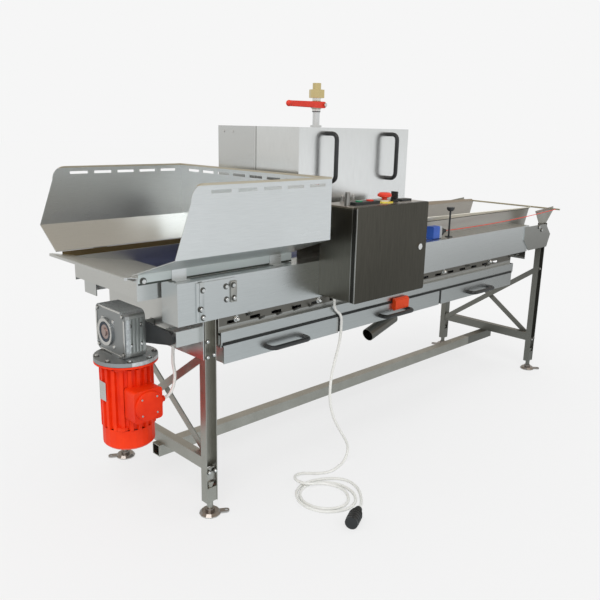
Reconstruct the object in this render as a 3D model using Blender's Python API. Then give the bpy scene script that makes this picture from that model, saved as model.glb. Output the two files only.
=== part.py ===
"""A roller vegetable washer: a stainless trough on four legs, with a feed hopper, a spray hood,
four driven washing rollers, settling trays and a geared motor.

Metres, +Z up. The machine runs along X from the hopper to the outfeed, its front faces -Y, and the
origin is on the floor under the middle of the machine's box."""

import math

import bmesh
import bpy
from mathutils import Matrix, Vector

# Fits
GAP = 0.0003
RUNNING_GAP = 0.0006
OVERRUN = 0.004
WELD_LAP = 0.001
WELD_DISTANCE = 0.000002

# Sheet and plate
SHEET = 0.002
PLATE = 0.003
GUSSET_PLATE = 0.004

# Legs, cross bars and stretcher
LEG_LEFT_X = -0.957
LEG_SPAN = 2.052
LEG_WIDTH = 0.042
LEG_DEPTH = 0.028
LEG_WALL = 0.003
LEG_BOTTOM_Z = 0.046
FOOT_WINDOW_Z = 0.100
FOOT_WINDOW_HEIGHT = 0.056
FOOT_WINDOW_WIDTH = 0.026
CROSS_BAR_WIDTH = 0.030
CROSS_BAR_HEIGHT = 0.040
CROSS_BAR_Z = 0.154
STRETCHER_SIZE = 0.040
STRETCHER_OVERHANG = 0.030
STRETCHER_WALL = 0.003
BRACE_WIDTH = 0.030
BRACE_THICKNESS = 0.005
BRACE_HIGH_Z = 0.522
BRACE_LOW_Z = 0.170

# Levelling feet
SPINDLE_R = 0.010
FOOT_R = 0.035
FOOT_HEIGHT = 0.012
FOOT_COLLAR_R = 0.015
FOOT_COLLAR_TOP = 0.022
SPINDLE_TOP = 0.106
SPINDLE_CAP_R = 0.0125
SPINDLE_CAP_HEIGHT = 0.009
FOOT_EDGE_SHARE = 0.33
FOOT_TOP_SHARE = 0.8
NUT_BLOCK_HEIGHT = 0.050
LUG_REACH = 0.062
LUG_WIDTH = 0.020
LUG_THICKNESS = 0.007
LUG_HOLE_R = 0.006
LUG_TURNS_DEG = {"front_left": -30.0, "front_right": -50.0, "rear_left": 150.0, "rear_right": 130.0}

# Side panels
PANEL_X0 = -1.072
PANEL_LENGTH = 2.002
PANEL_HALF_WIDTH = 0.277
PANEL_BOTTOM_Z = 0.643
PANEL_TOP_Z = 0.768
TOP_FLANGE_WIDTH = 0.090
BOTTOM_FLANGE_WIDTH = 0.016
END_FLANGE_WIDTH = 0.080

# Slotted rails under the panels
RAIL_FACE_SETBACK = 0.010
RAIL_SLOT_LENGTH = 0.042
RAIL_SLOT_HEIGHT = 0.010
RAIL_SLOT_PITCH = 0.090
RAIL_END_MARGIN = 0.035

# End walls
OUTER_WALL_X = -0.984
OUTER_WALL_BOTTOM_Z = 0.524
INFEED_NOTCH_CLEARANCE = 0.006
BEARING_WALL_CLEARANCE = 0.008
RIGHT_WALL_SETBACK = 0.004
RIGHT_WALL_BOTTOM_Z = 0.604

# Water pan and trays
PAN_TOP_Z = 0.600
PAN_FRONT_HEIGHT = 0.040
PAN_END_X = 0.800
PAN_FACE_PROUD = 0.006
PAN_RIDGE_RISE = 0.036
PAN_WEB_CLEARANCE = 0.005
TRAY_HEIGHT = 0.058
TRAY_DEPTH = 0.245
TRAY_LENGTHS = (0.506, 0.598, 0.570)
TRAY_SPACING = 0.014
TRAY_SEAL_GAP = 0.002
TRAY_FACE_PROUD = 0.004
TRAY_RIM = 0.006
RUNNER_LEDGE = 0.004
HANDLE_LENGTH = 0.165
HANDLE_REACH = 0.032
HANDLE_ROD_R = 0.008
HANDLE_Z_BELOW_RIM = 0.037
DRAIN_PIPE_R = 0.025
DRAIN_PIPE_WALL = 0.002
DRAIN_RUN = 0.150
DRAIN_DROP = 0.046
DRAIN_HANGER_SHARE = 0.95
LATCH_WIDTH = 0.082
LATCH_HEIGHT = 0.046
LATCH_THICKNESS = 0.016
LATCH_BELOW_RIM = 0.020
LATCH_SHARE = 0.55

# Washing rollers
ROLLER_YS = (-0.138, -0.046, 0.046, 0.138)
ROLLER_OUTER_Z = 0.684
ROLLER_INNER_Z = 0.636
ROLLER_R = 0.042
ROLLER_ROOT_R = 0.036
ROLLER_RIBS = 12
ROLLER_SHAFT_R = 0.010
ROLLER_END_CLEARANCE = 0.006
BEARING_R = 0.021
BEARING_WIDTH = 0.012
BUSH_SHARE = 0.75

# Chain drive
DRIVE_Z = 0.582
SPROCKET_R = 0.024
SPROCKET_WIDTH = 0.007
CHAIN_WIDTH = 0.012
CHAIN_THICKNESS = 0.006
CHAIN_MIDDLE_SHARE = 0.55
TOOTH_DEPTH = 0.004
TOOTH_SHARES = (0.0, 0.4, 0.5, 0.9)

# Worm gearbox
GEARBOX_X = -1.112
GEARBOX_THICKNESS = 0.068
GEARBOX_WIDTH = 0.176
GEARBOX_HEIGHT = 0.146
GEARBOX_CORNER_R = 0.022
GEARBOX_Z_OFFSET = 0.008
GEARBOX_BOSS_R = 0.044
GEARBOX_BOSS_HEIGHT = 0.006
GEARBOX_NECK_SHARE = 0.6
GEARBOX_RIBS = 5
GEARBOX_RIB_DEPTH = 0.006
GEARBOX_RIB_THICKNESS = 0.004
CENTRE_DISTANCE = 0.050
WORM_R = 0.0147
WORM_LENGTH = 0.080
WHEEL_WIDTH = 0.022
WHEEL_TEETH = 30
WHEEL_TOOTH = 0.003
WORM_THREADS = 6
WORM_THREAD_SHARES = (0.0, 0.3, 0.6, 0.9)
HUB_R = 0.0225
DRIVE_SHAFT_R = 0.0125
SHAFT_END = 0.004

# Motor
MOTOR_FLANGE_R = 0.097
MOTOR_FLANGE_THICKNESS = 0.012
MOTOR_TOP_Z = 0.504
MOTOR_R = 0.082
MOTOR_ROOT_R = 0.073
MOTOR_FINS = 20
MOTOR_BODY_BOTTOM_Z = 0.294
MOTOR_NECK_HEIGHT = 0.016
ROTOR_R = 0.044
MOTOR_SHAFT_R = 0.0095
END_SHIELD = 0.012
COWL_BOTTOM_Z = 0.229
COWL_R = 0.080
COWL_SLOTS = 8
COWL_SLOT_SHARES = (0.25, 0.8)
FAN_R = 0.066
FAN_BLADES = 6
FAN_HUB_R = 0.016
FAN_HEIGHT = 0.026
TERMINAL_BOX_WIDTH = 0.096
TERMINAL_BOX_DEPTH = 0.040
TERMINAL_BOX_HEIGHT = 0.100
TERMINAL_BOX_Z = 0.334
TERMINAL_BOX_CORNER_R = 0.010
TORQUE_ARM_THICKNESS = 0.008
TORQUE_ARM_WIDTH = 0.040
TORQUE_PIN_Y = -0.236
TORQUE_PIN_Z = 0.602
TORQUE_BRACKET_WIDTH = 0.052
TORQUE_BRACKET_HEIGHT = 0.046
MOTOR_CABLE_R = 0.005
MOTOR_CABLE_END_Y = -0.150
MOTOR_CABLE_END_Z = 0.560
MOTOR_CABLE_STEPS = ((0, 0, 0), (0.008, 0, 0), (0.016, 0, 0), (0.036, 0, 0.006), (0.054, 0.002, 0.028),
                     (0.062, 0.004, 0.064), (0.058, 0.006, 0.110))

# Hopper
HOPPER_TOP_Z = 1.055
HOPPER_FOLD_Z = 0.863
HOPPER_BOTTOM_Z = 0.799
HOPPER_TOP_HALF = 0.400
HOPPER_BOTTOM_HALF = 0.229
HOPPER_END_X = -0.588
HOPPER_RIM_X = -1.105
HOPPER_FOLD_X = -1.158
HOPPER_BOTTOM_X = -1.186
HOPPER_CORNER_R = 0.045
HOPPER_RIM_WIDTH = 0.010
HOPPER_RIM_HEIGHT = 0.008
HOPPER_SLOT_LENGTH = 0.066
HOPPER_SLOT_HEIGHT = 0.009
HOPPER_SLOT_DROP = 0.010
HOPPER_SLOT_PITCH = 0.090
HOPPER_SLOT_START_SHARE = 0.2
HOPPER_GATE_HALF = 0.178
HOPPER_GATE_Z = 0.905
HOPPER_TAB_LENGTH = 0.050
HOPPER_TAB_FOOT = 0.022

# Infeed tray
INFEED_LIP_X = -1.200
INFEED_LIP_Z = 0.797
INFEED_END_Z = 0.746
INFEED_LIP_LENGTH = 0.070
INFEED_RAIL_X0 = -1.146
INFEED_RAIL_BOTTOM_Z = 0.712
INFEED_RAIL_TOP_Z = 0.788
INFEED_END_PLATE_TOP_Z = 0.772
INFEED_HEM = 0.008
INFEED_KNOB_X = -0.617
INFEED_KNOB_R = 0.015

# Spray hood
HOOD_X0 = -0.550
HOOD_LENGTH = 0.574
HOOD_HALF_WIDTH = 0.213
HOOD_TOP_Z = 1.200
HOOD_SEAM = 0.0006
HOOD_GATE_HALF = 0.172
HOOD_GATE_TOP_Z = 0.905
HOOD_HANDLE_XS = (-0.419, -0.098)
HOOD_HANDLE_Z0 = 1.024
HOOD_HANDLE_HEIGHT = 0.157
HOOD_HANDLE_REACH = 0.044
HOOD_HANDLE_R = 0.0075
HOOD_HANDLE_BEND_R = 0.020

# Spray pipe, valve
PIPE_X = -0.199
PIPE_Y = 0.060
PIPE_R = 0.0135
PIPE_TOP_Z = 1.256
PIPE_COLLAR_SHARE = 1.6
PIPE_COLLAR_HEIGHT_SHARE = 0.6
MANIFOLD_Z = 1.130
MANIFOLD_HALF = 0.220
MANIFOLD_R = 0.011
NOZZLES = 5
NOZZLE_R = 0.008
NOZZLE_LENGTH = 0.022
NOZZLE_SPREAD_SHARE = 0.9
VALVE_BODY_R = 0.024
VALVE_BODY_HEIGHT = 0.052
VALVE_HEX_R = 0.030
VALVE_HEX_HEIGHT = 0.030
VALVE_TAIL_R = 0.016
VALVE_TAIL_TOP_Z = 1.362
VALVE_BODY_SHARES = (0.2, 0.35, 0.65, 0.8)
LEVER_LENGTH = 0.185
LEVER_WIDTH = 0.020
LEVER_THICKNESS = 0.005
LEVER_EYE_SHARE = 1.2
GRIP_WIDTH_SHARE = 0.9
GRIP_END_SHARE = 0.6
STEM_R = 0.007
STEM_LENGTH = 0.012

# Control box
BOX_X0 = -0.506
BOX_WIDTH = 0.376
BOX_BOTTOM_Z = 0.648
BOX_HEIGHT = 0.311
BOX_DEPTH = 0.140
BOX_SHEET = 0.002
DOOR_DEPTH = 0.018
DOOR_SEAM = 0.0006
DOOR_CORNER_R = 0.006
LOCK_R = 0.011
LOCK_REACH = 0.006
LOCK_INSET = 0.040
LOCK_NECK_SHARE = 0.7
CAM_DEPTH_SHARES = (0.6, 0.9)
CAM_REACH_SHARE = 1.6
MOUNTING_PLATE_MARGIN = 0.030
MOUNTING_PLATE_STANDOFF = 0.012
POST_R = 0.005
DEVICES = 3
DEVICE_SPACING = 0.020
DEVICE_DEPTH = 0.060
DEVICE_HEIGHT = 0.075
TOP_ROW_SETBACK = 0.062

# Operator controls
STATION_X = -0.402
STATION_LENGTH = 0.122
STATION_WIDTH = 0.040
STATION_HEIGHT = 0.010
BUTTON_R = 0.012
BUTTON_PROUD = 0.004
BUTTON_TRAVEL = 0.002
BUTTON_SPACING = 0.055
BUTTON_DEPTH = 0.008
ESTOP_X = -0.299
ESTOP_R = 0.024
ESTOP_HEIGHT = 0.018
ESTOP_STEM_R = 0.009
ESTOP_NECK_SHARE = 1.7
ESTOP_CHEEK_SHARE = 0.3
ESTOP_FACE_SHARE = 0.7
ESTOP_TRAVEL = 0.006
ESTOP_RING_R = 0.030
ESTOP_RING_HEIGHT = 0.003
SELECTOR_X = -0.245
SELECTOR_R = 0.014
SELECTOR_GRIP_HEIGHT = 0.026
SELECTOR_BASE_HEIGHT = 0.008
SELECTOR_GRIP_SHARE = 0.9
PLUG_X = -0.486
PLUG_R = 0.010
PLUG_HEIGHT = 0.044
PLUG_NECK_SHARE = 0.8
ROW_COVER_X = -0.192
ROW_COVER_LENGTH = 0.056
ROW_COVER_WIDTH = 0.030
ROW_COVER_HEIGHT = 0.007

# Outfeed
GUIDE_HALF = 0.184
GUIDE_BOTTOM_Z = 0.712
GUIDE_TOP_Z = 0.832
FRONT_GUIDE_END_X = 1.085
REAR_GUIDE_END_X = 1.170
GUIDE_END_SLANT = 0.060
GUIDE_FLANGE_START = 0.042
GUIDE_FLANGE_END = 0.012
GUIDE_FLANGE_RISE_SHARE = 0.7
GUIDE_KNOB_X = 0.300
GUIDE_KNOB_R = 0.016
KNOB_NECK_SHARE = 0.6
GUIDE_KNOB_Z = 0.876
CHUTE_DROP = 0.030
END_ROD_X = 1.180
END_ROD_Z = 0.829
END_ROD_R = 0.004
END_ROD_OVERHANG = 0.040
END_BRACKET_HALF = 0.262
END_BRACKET_INNER_X = 1.010
END_BRACKET_LAP = 0.020

# Pull switch
SWITCH_X0 = 0.178
SWITCH_LENGTH = 0.060
SWITCH_WIDTH = 0.036
SWITCH_CORNER_R = 0.006
SWITCH_HEIGHT = 0.052
SWITCH_Y = -0.235
SWITCH_NECK_R = 0.018
SWITCH_NECK_LENGTH = 0.030
SWITCH_SHOULDER_SHARE = 0.6
SWITCH_EYE_R = 0.008
SWITCH_EYE_LENGTH = 0.016
PULL_WIRE_R = 0.0015
PULL_WIRE_SAG = 0.010

# Power cable
CABLE_R = 0.005
GLAND_X = -0.444
GLAND_Y = -0.294
GLAND_R = 0.013
GLAND_LENGTH = 0.021
PLUG_BODY_R = 0.021
PLUG_BODY_LENGTH = 0.086
PLUG_NOSE_R = 0.012
GLAND_THROAT_SHARE = 1.15
PLUG_HEADING_DEG = 206.0
PLUG_NOSE_X = -0.613
PLUG_NOSE_Y = -0.587
COIL_X = -0.618
COIL_Y = -0.440
CABLE_SPACING = 0.022

# Frame gussets, as places in x and z
GUSSET_LEFT_X = (-1.010, -0.868)
GUSSET_RIGHT_X = (0.885, 1.150)
GUSSET_CUT = 0.055
GUSSET_TOP_MARGIN = 0.006

# Fineness
ROUND = 24
SMALL_ROUND = 12
FINE = 8

# Places worked out from the sizes above
LEG_RIGHT_X = LEG_LEFT_X + LEG_SPAN
PANEL_X1 = PANEL_X0 + PANEL_LENGTH
PANEL_INNER = PANEL_HALF_WIDTH - PLATE
LEG_FRONT_LEFT = PANEL_INNER - GAP
LEG_FRONT_RIGHT = PANEL_HALF_WIDTH - WELD_LAP / 2 - GAP
FLANGE_INNER = PANEL_HALF_WIDTH - TOP_FLANGE_WIDTH
UNDER_FLANGE_Z = PANEL_TOP_Z - PLATE - GAP
BEARING_WALL_X = LEG_LEFT_X + LEG_WIDTH / 2 + BEARING_WALL_CLEARANCE
PAN_X0 = BEARING_WALL_X + PLATE + GAP
RIGHT_WALL_X = PANEL_X1 - RIGHT_WALL_SETBACK - PLATE
RAIL_FACE = PANEL_HALF_WIDTH - RAIL_FACE_SETBACK
TRAY_TOP_Z = PAN_TOP_Z - PAN_FRONT_HEIGHT - TRAY_SEAL_GAP
TRAY_FRONT_Y = -PANEL_HALF_WIDTH - PAN_FACE_PROUD - TRAY_FACE_PROUD
MOTOR_Y = -CENTRE_DISTANCE
SPROCKET_X = (OUTER_WALL_X + PLATE + BEARING_WALL_X) / 2
BOX_BACK_Y = -PANEL_HALF_WIDTH - GAP
BOX_FRONT_Y = BOX_BACK_Y - BOX_DEPTH
DOOR_FRONT_Y = BOX_FRONT_Y - DOOR_SEAM - DOOR_DEPTH
BOX_TOP_Z = BOX_BOTTOM_Z + BOX_HEIGHT
TOP_ROW_Y = DOOR_FRONT_Y + TOP_ROW_SETBACK
HOOD_X1 = HOOD_X0 + HOOD_LENGTH
ORIGIN_X = (GEARBOX_X - MOTOR_FLANGE_R + END_ROD_X + 3 * END_ROD_R) / 2
ORIGIN_Y = (HOPPER_TOP_HALF + DOOR_FRONT_Y - LOCK_REACH) / 2

LOOKS = {
    "stainless": ((0.62, 0.64, 0.65), 0.32, 1.0),
    "frame_steel": ((0.47, 0.47, 0.45), 0.40, 1.0),
    "dark_stainless": ((0.20, 0.19, 0.17), 0.35, 1.0),
    "cast_aluminium": ((0.58, 0.59, 0.60), 0.45, 0.9),
    "motor_red": ((0.80, 0.07, 0.02), 0.35, 0.0),
    "steel": ((0.50, 0.50, 0.50), 0.30, 1.0),
    "black_plastic": ((0.02, 0.02, 0.02), 0.45, 0.0),
    "blue_plastic": ((0.03, 0.08, 0.35), 0.45, 0.0),
    "red_plastic": ((0.75, 0.05, 0.02), 0.35, 0.0),
    "green_plastic": ((0.03, 0.30, 0.15), 0.35, 0.0),
    "orange_plastic": ((0.85, 0.12, 0.02), 0.40, 0.0),
    "brass": ((0.70, 0.55, 0.25), 0.35, 1.0),
    "chrome": ((0.75, 0.75, 0.75), 0.12, 1.0),
    "white_cable": ((0.80, 0.80, 0.77), 0.45, 0.0),
}

MATERIALS = {}


def clear_scene():
    for obj in list(bpy.data.objects):
        bpy.data.objects.remove(obj, do_unlink=True)


def material(look):
    if look not in MATERIALS:
        colour, roughness, metallic = LOOKS[look]
        made = bpy.data.materials.new(look)
        made.use_nodes = True
        shader = made.node_tree.nodes["Principled BSDF"]
        shader.inputs["Base Color"].default_value = (*colour, 1.0)
        shader.inputs["Roughness"].default_value = roughness
        shader.inputs["Metallic"].default_value = metallic
        MATERIALS[look] = made
    return MATERIALS[look]


def piece(name, bm, look, smooth_angle=None):
    """Makes one object from a bmesh, with its faces turned out and its material."""
    bmesh.ops.recalc_face_normals(bm, faces=bm.faces)
    mesh = bpy.data.meshes.new(name)
    bm.to_mesh(mesh)
    bm.free()
    mesh.materials.append(material(look))
    obj = bpy.data.objects.new(name, mesh)
    bpy.context.scene.collection.objects.link(obj)
    if smooth_angle:
        mesh.shade_smooth()
        mesh.set_sharp_from_angle(angle=math.radians(smooth_angle))
    return obj


def add_box(bm, x, y, z):
    verts = [bm.verts.new((a, b, c)) for a in x for b in y for c in z]
    for quad in ((0, 1, 3, 2), (4, 6, 7, 5), (0, 4, 5, 1), (2, 3, 7, 6), (0, 2, 6, 4), (1, 5, 7, 3)):
        bm.faces.new([verts[i] for i in quad])


def add_prism(bm, outline, axis, low, high):
    """Extrudes an outline along an axis. The outline's pairs are in the order of the other two axes."""
    def ring(level):
        return [bm.verts.new(tuple(pair[:axis]) + (level,) + tuple(pair[axis:])) for pair in outline]
    start, end = ring(low), ring(high)
    bm.faces.new(start)
    bm.faces.new(end)
    for i in range(len(outline)):
        j = (i + 1) % len(outline)
        bm.faces.new((start[i], start[j], end[j], end[i]))


def add_turned(bm, profile, centre, direction, count=ROUND, closed=False):
    """Revolves (radius, height) pairs about a line through centre. A closed profile makes a ring."""
    turn = Vector(direction).to_track_quat("Z", "Y").to_matrix()
    centre = Vector(centre)
    rings = []
    for radius, height in profile:
        if radius == 0:
            rings.append([bm.verts.new(centre + turn @ Vector((0, 0, height)))] * count)
            continue
        angles = [2 * math.pi * i / count for i in range(count)]
        places = [Vector((radius * math.cos(a), radius * math.sin(a), height)) for a in angles]
        rings.append([bm.verts.new(centre + turn @ place) for place in places])
    pairs = list(zip(rings, rings[1:])) + ([(rings[-1], rings[0])] if closed else [])
    for low, high in pairs:
        for i in range(count):
            j = (i + 1) % count
            corners = [low[i], low[j], high[j], high[i]]
            corners = [v for k, v in enumerate(corners) if v not in corners[:k]]
            if len(corners) > 2:
                bm.faces.new(corners)


def add_rod(bm, start, end, radius, count=SMALL_ROUND):
    span = Vector(end) - Vector(start)
    add_turned(bm, [(0, 0), (radius, 0), (radius, span.length), (0, span.length)], start, span, count)


def add_sheet(bm, corners, thickness):
    """A flat sheet with these corners, thickened along its normal."""
    corners = [Vector(c) for c in corners]
    normal = (corners[1] - corners[0]).cross(corners[2] - corners[1]).normalized() * thickness
    low = [bm.verts.new(c) for c in corners]
    high = [bm.verts.new(c + normal) for c in corners]
    bm.faces.new(low)
    bm.faces.new(high)
    for i in range(len(corners)):
        j = (i + 1) % len(corners)
        bm.faces.new((low[i], low[j], high[j], high[i]))


def add_sweep(bm, path, radius, count=SMALL_ROUND):
    """A round bar along a path of points, with flat ends."""
    path = [Vector(p) for p in path]
    last = len(path) - 1
    tangents = [(path[min(i + 1, last)] - path[max(i - 1, 0)]).normalized() for i in range(last + 1)]
    side = tangents[0].orthogonal().normalized()
    rings = []
    for point, tangent in zip(path, tangents):
        side = (side - tangent * side.dot(tangent)).normalized()
        up = tangent.cross(side)
        rings.append([bm.verts.new(point + radius * (math.cos(a) * side + math.sin(a) * up))
                      for a in (2 * math.pi * i / count for i in range(count))])
    bm.faces.new(rings[0])
    bm.faces.new(rings[-1])
    for low, high in zip(rings, rings[1:]):
        for i in range(count):
            j = (i + 1) % count
            bm.faces.new((low[i], low[j], high[j], high[i]))


def shape(add, *args, **options):
    """One throwaway solid, made by one of the add functions."""
    bm = bmesh.new()
    add(bm, *args, **options)
    return piece("tool", bm, "steel")


def combined(target, tools, operation):
    """The target with the tools added or cut, as a plain mesh. The tools are used up."""
    for tool in tools:
        change = target.modifiers.new("change", "BOOLEAN")
        change.operation = operation
        change.solver = "EXACT"
        change.object = tool
        evaluated = target.evaluated_get(bpy.context.evaluated_depsgraph_get())
        mesh = bpy.data.meshes.new_from_object(evaluated)
        target.modifiers.clear()
        bm = bmesh.new()
        bm.from_mesh(mesh)
        bmesh.ops.remove_doubles(bm, verts=bm.verts, dist=WELD_DISTANCE)
        bmesh.ops.triangulate(bm, faces=[face for face in bm.faces if len(face.verts) > 4])
        bm.to_mesh(mesh)
        bm.free()
        target.data = mesh
        bpy.data.objects.remove(tool, do_unlink=True)
    return target


def weld(target, *tools):
    return combined(target, tools, "UNION")


def carve(target, *tools):
    return combined(target, tools, "DIFFERENCE")


def named(obj, name, look, smooth_angle=None):
    """Names a shape and gives it its look."""
    obj.name = name
    obj.data.name = name
    obj.data.materials.clear()
    obj.data.materials.append(material(look))
    for face in obj.data.polygons:
        face.material_index = 0
    if smooth_angle:
        obj.data.shade_smooth()
        obj.data.set_sharp_from_angle(angle=math.radians(smooth_angle))
    return obj


def pivot(obj, place):
    """Moves an object's origin to a place, and leaves its shape where it is."""
    obj.data.transform(Matrix.Translation(-Vector(place)))
    obj.location = place
    return obj


def arc(centre, radius, start_deg, end_deg, count=FINE):
    """Points of an arc in a plane, with both ends."""
    angles = [math.radians(start_deg + (end_deg - start_deg) * i / count) for i in range(count + 1)]
    return [(centre[0] + radius * math.cos(a), centre[1] + radius * math.sin(a)) for a in angles]


def rounded(x, y, radius, count=FINE // 2):
    """A rectangle between two pairs, with round corners."""
    points = []
    for cx, cy, start in ((x[1], y[1], 0), (x[0], y[1], 90), (x[0], y[0], 180), (x[1], y[0], 270)):
        centre = (cx - radius if cx == x[1] else cx + radius, cy - radius if cy == y[1] else cy + radius)
        points += arc(centre, radius, start, start + 90, count)
    return points


def toothed(centre, root, tip, teeth):
    """A ribbed or toothed outline: each tooth has a flat tip and a flat root."""
    points = []
    for i in range(teeth):
        for k, radius in zip(TOOTH_SHARES, (root, root, tip, tip)):
            angle = 2 * math.pi * (i + k) / teeth
            points.append((centre[0] + radius * math.cos(angle), centre[1] + radius * math.sin(angle)))
    return points


def bladed(centre, hub, tip, blades):
    """The outline of a fan: a hub with straight blades one sheet thick."""
    points = []
    for i in range(blades):
        angle = 2 * math.pi * i / blades
        for radius, side in ((hub, -SHEET), (tip, -SHEET), (tip, SHEET), (hub, SHEET)):
            points.append((centre[0] + radius * math.cos(angle) - side * math.sin(angle),
                           centre[1] + radius * math.sin(angle) + side * math.cos(angle)))
    return points


def smooth_curve(points, steps):
    """Points read from a Catmull-Rom curve through the given ones."""
    points = [Vector(p) for p in points]
    run = [2 * points[0] - points[1]] + points + [2 * points[-1] - points[-2]]
    read = []
    for a, b, c, d in zip(run, run[1:], run[2:], run[3:]):
        for k in range(steps):
            t = k / steps
            read.append(((2 * b) + (c - a) * t + (2 * a - 5 * b + 4 * c - d) * t ** 2
                         + (3 * b - a - 3 * c + d) * t ** 3) / 2)
    return read + [points[-1]]


def cord(name, points, radius, look, resolution):
    """A round cord as a curve object, with closed ends."""
    curve = bpy.data.curves.new(name, "CURVE")
    curve.dimensions = "3D"
    curve.bevel_depth = radius
    curve.bevel_resolution = resolution
    curve.use_fill_caps = True
    line = curve.splines.new("POLY")
    line.points.add(len(points) - 1)
    for node, point in zip(line.points, points):
        node.co = (*point, 1.0)
    curve.materials.append(material(look))
    obj = bpy.data.objects.new(name, curve)
    bpy.context.scene.collection.objects.link(obj)
    return obj


def channel_leg(x, front_y, facing, top_z):
    """A channel open away from the machine, with the foot's window cut in its web."""
    half = LEG_WIDTH / 2
    back = front_y - facing * LEG_DEPTH
    web = back + facing * LEG_WALL
    outline = [(x - half, front_y), (x - half, back), (x + half, back), (x + half, front_y),
               (x + half - LEG_WALL, front_y), (x + half - LEG_WALL, web),
               (x - half + LEG_WALL, web), (x - half + LEG_WALL, front_y)]
    leg = shape(add_prism, outline, 2, LEG_BOTTOM_Z, top_z)
    hole = FOOT_WINDOW_WIDTH / 2
    span = sorted((back - facing * OVERRUN, web + facing * OVERRUN))
    window = (FOOT_WINDOW_Z, FOOT_WINDOW_Z + FOOT_WINDOW_HEIGHT)
    return carve(leg, shape(add_box, (x - hole, x + hole), span, window))


def foot_centre(front_y, facing):
    return front_y - facing * (LEG_DEPTH - LEG_WALL) / 2


def nut_block(x, front_y, facing):
    """The threaded block that fills the foot of a leg, with the spindle's hole through it."""
    half = LEG_WIDTH / 2 - LEG_WALL + WELD_LAP
    back = front_y - facing * (LEG_DEPTH - LEG_WALL + WELD_LAP)
    centre = foot_centre(front_y, facing)
    z = (LEG_BOTTOM_Z + WELD_LAP, LEG_BOTTOM_Z + NUT_BLOCK_HEIGHT)
    block = shape(add_box, (x - half, x + half), sorted((back, front_y + facing * -WELD_LAP)), z)
    start = (x, centre, z[0] - OVERRUN)
    end = (x, centre, z[1] + OVERRUN)
    return carve(block, shape(add_rod, start, end, SPINDLE_R + RUNNING_GAP, 16))


def brace(x, reach, front_high):
    """A flat diagonal bar between the two legs of an end frame."""
    half = BRACE_WIDTH / 2
    near, far = (BRACE_HIGH_Z, BRACE_LOW_Z) if front_high else (BRACE_LOW_Z, BRACE_HIGH_Z)
    outline = [(-reach, near - half), (reach, far - half), (reach, far + half), (-reach, near + half)]
    return shape(add_prism, outline, 0, x - BRACE_THICKNESS / 2, x + BRACE_THICKNESS / 2)


def rod_bracket(facing):
    """The plate on a right leg that holds the end rod."""
    half = facing * END_BRACKET_HALF
    y = sorted((half, half - facing * PLATE))
    low = UNDER_FLANGE_Z - END_BRACKET_LAP
    reach = END_ROD_X + END_ROD_R * 3
    foot_half = LEG_WIDTH / 2 - WELD_LAP
    outline = [(LEG_RIGHT_X - foot_half, low), (LEG_RIGHT_X + foot_half, low),
               (reach, END_ROD_Z - END_ROD_R * 2), (reach, END_ROD_Z + END_ROD_R * 3),
               (END_BRACKET_INNER_X, END_ROD_Z)]
    plate = shape(add_prism, outline, 1, *y)
    return carve(plate, shape(add_rod, (END_ROD_X, y[0] - OVERRUN, END_ROD_Z),
                              (END_ROD_X, y[1] + OVERRUN, END_ROD_Z), END_ROD_R + GAP))


def end_frame(name, x, front):
    """Two legs, the cross bar that joins them and two diagonal braces, welded."""
    front_leg = channel_leg(x, -front, -1, UNDER_FLANGE_Z)
    rear_leg = channel_leg(x, front, 1, UNDER_FLANGE_Z)
    inside = front - LEG_DEPTH + WELD_LAP
    half = CROSS_BAR_WIDTH / 2
    bar = shape(add_box, (x - half, x + half), (-inside, inside),
                (CROSS_BAR_Z, CROSS_BAR_Z + CROSS_BAR_HEIGHT))
    offset = (CROSS_BAR_WIDTH + BRACE_THICKNESS) / 2 - WELD_LAP
    extras = [nut_block(x, -front, -1), nut_block(x, front, 1)]
    extras += [brace(x - offset, inside, True), brace(x + offset, inside, False)]
    if x == LEG_RIGHT_X:
        extras += [rod_bracket(-1), rod_bracket(1)]
    return named(weld(front_leg, rear_leg, bar, *extras), name, "frame_steel")


def foot(name, x, y, lug_deg):
    """A levelling foot: disc, spindle, its cap, and a lug with a hole for a floor bolt."""
    profile = [(0, 0), (FOOT_R - WELD_LAP, 0), (FOOT_R, FOOT_HEIGHT * FOOT_EDGE_SHARE),
               (FOOT_R * FOOT_TOP_SHARE, FOOT_HEIGHT),
               (FOOT_COLLAR_R, FOOT_HEIGHT), (FOOT_COLLAR_R, FOOT_COLLAR_TOP), (SPINDLE_R, FOOT_COLLAR_TOP),
               (SPINDLE_R, SPINDLE_TOP), (SPINDLE_CAP_R, SPINDLE_TOP),
               (SPINDLE_CAP_R, SPINDLE_TOP + SPINDLE_CAP_HEIGHT), (0, SPINDLE_TOP + SPINDLE_CAP_HEIGHT)]
    body = shape(add_turned, profile, (x, y, 0), (0, 0, 1), SMALL_ROUND)
    half = LUG_WIDTH / 2
    tip = arc((LUG_REACH - half, 0), half, -90, 90, FINE // 2)
    lug = shape(add_prism, [(FOOT_R / 2, half), (FOOT_R / 2, -half)] + tip, 2, 0, LUG_THICKNESS)
    hole = shape(add_rod, (LUG_REACH - half, 0, -OVERRUN), (LUG_REACH - half, 0, LUG_THICKNESS + OVERRUN),
                 LUG_HOLE_R)
    carve(lug, hole)
    lug.data.transform(Matrix.Translation((x, y, 0)) @ Matrix.Rotation(math.radians(lug_deg), 4, "Z"))
    return pivot(named(weld(body, lug), name, "frame_steel", 30), (x, y, 0))


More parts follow.
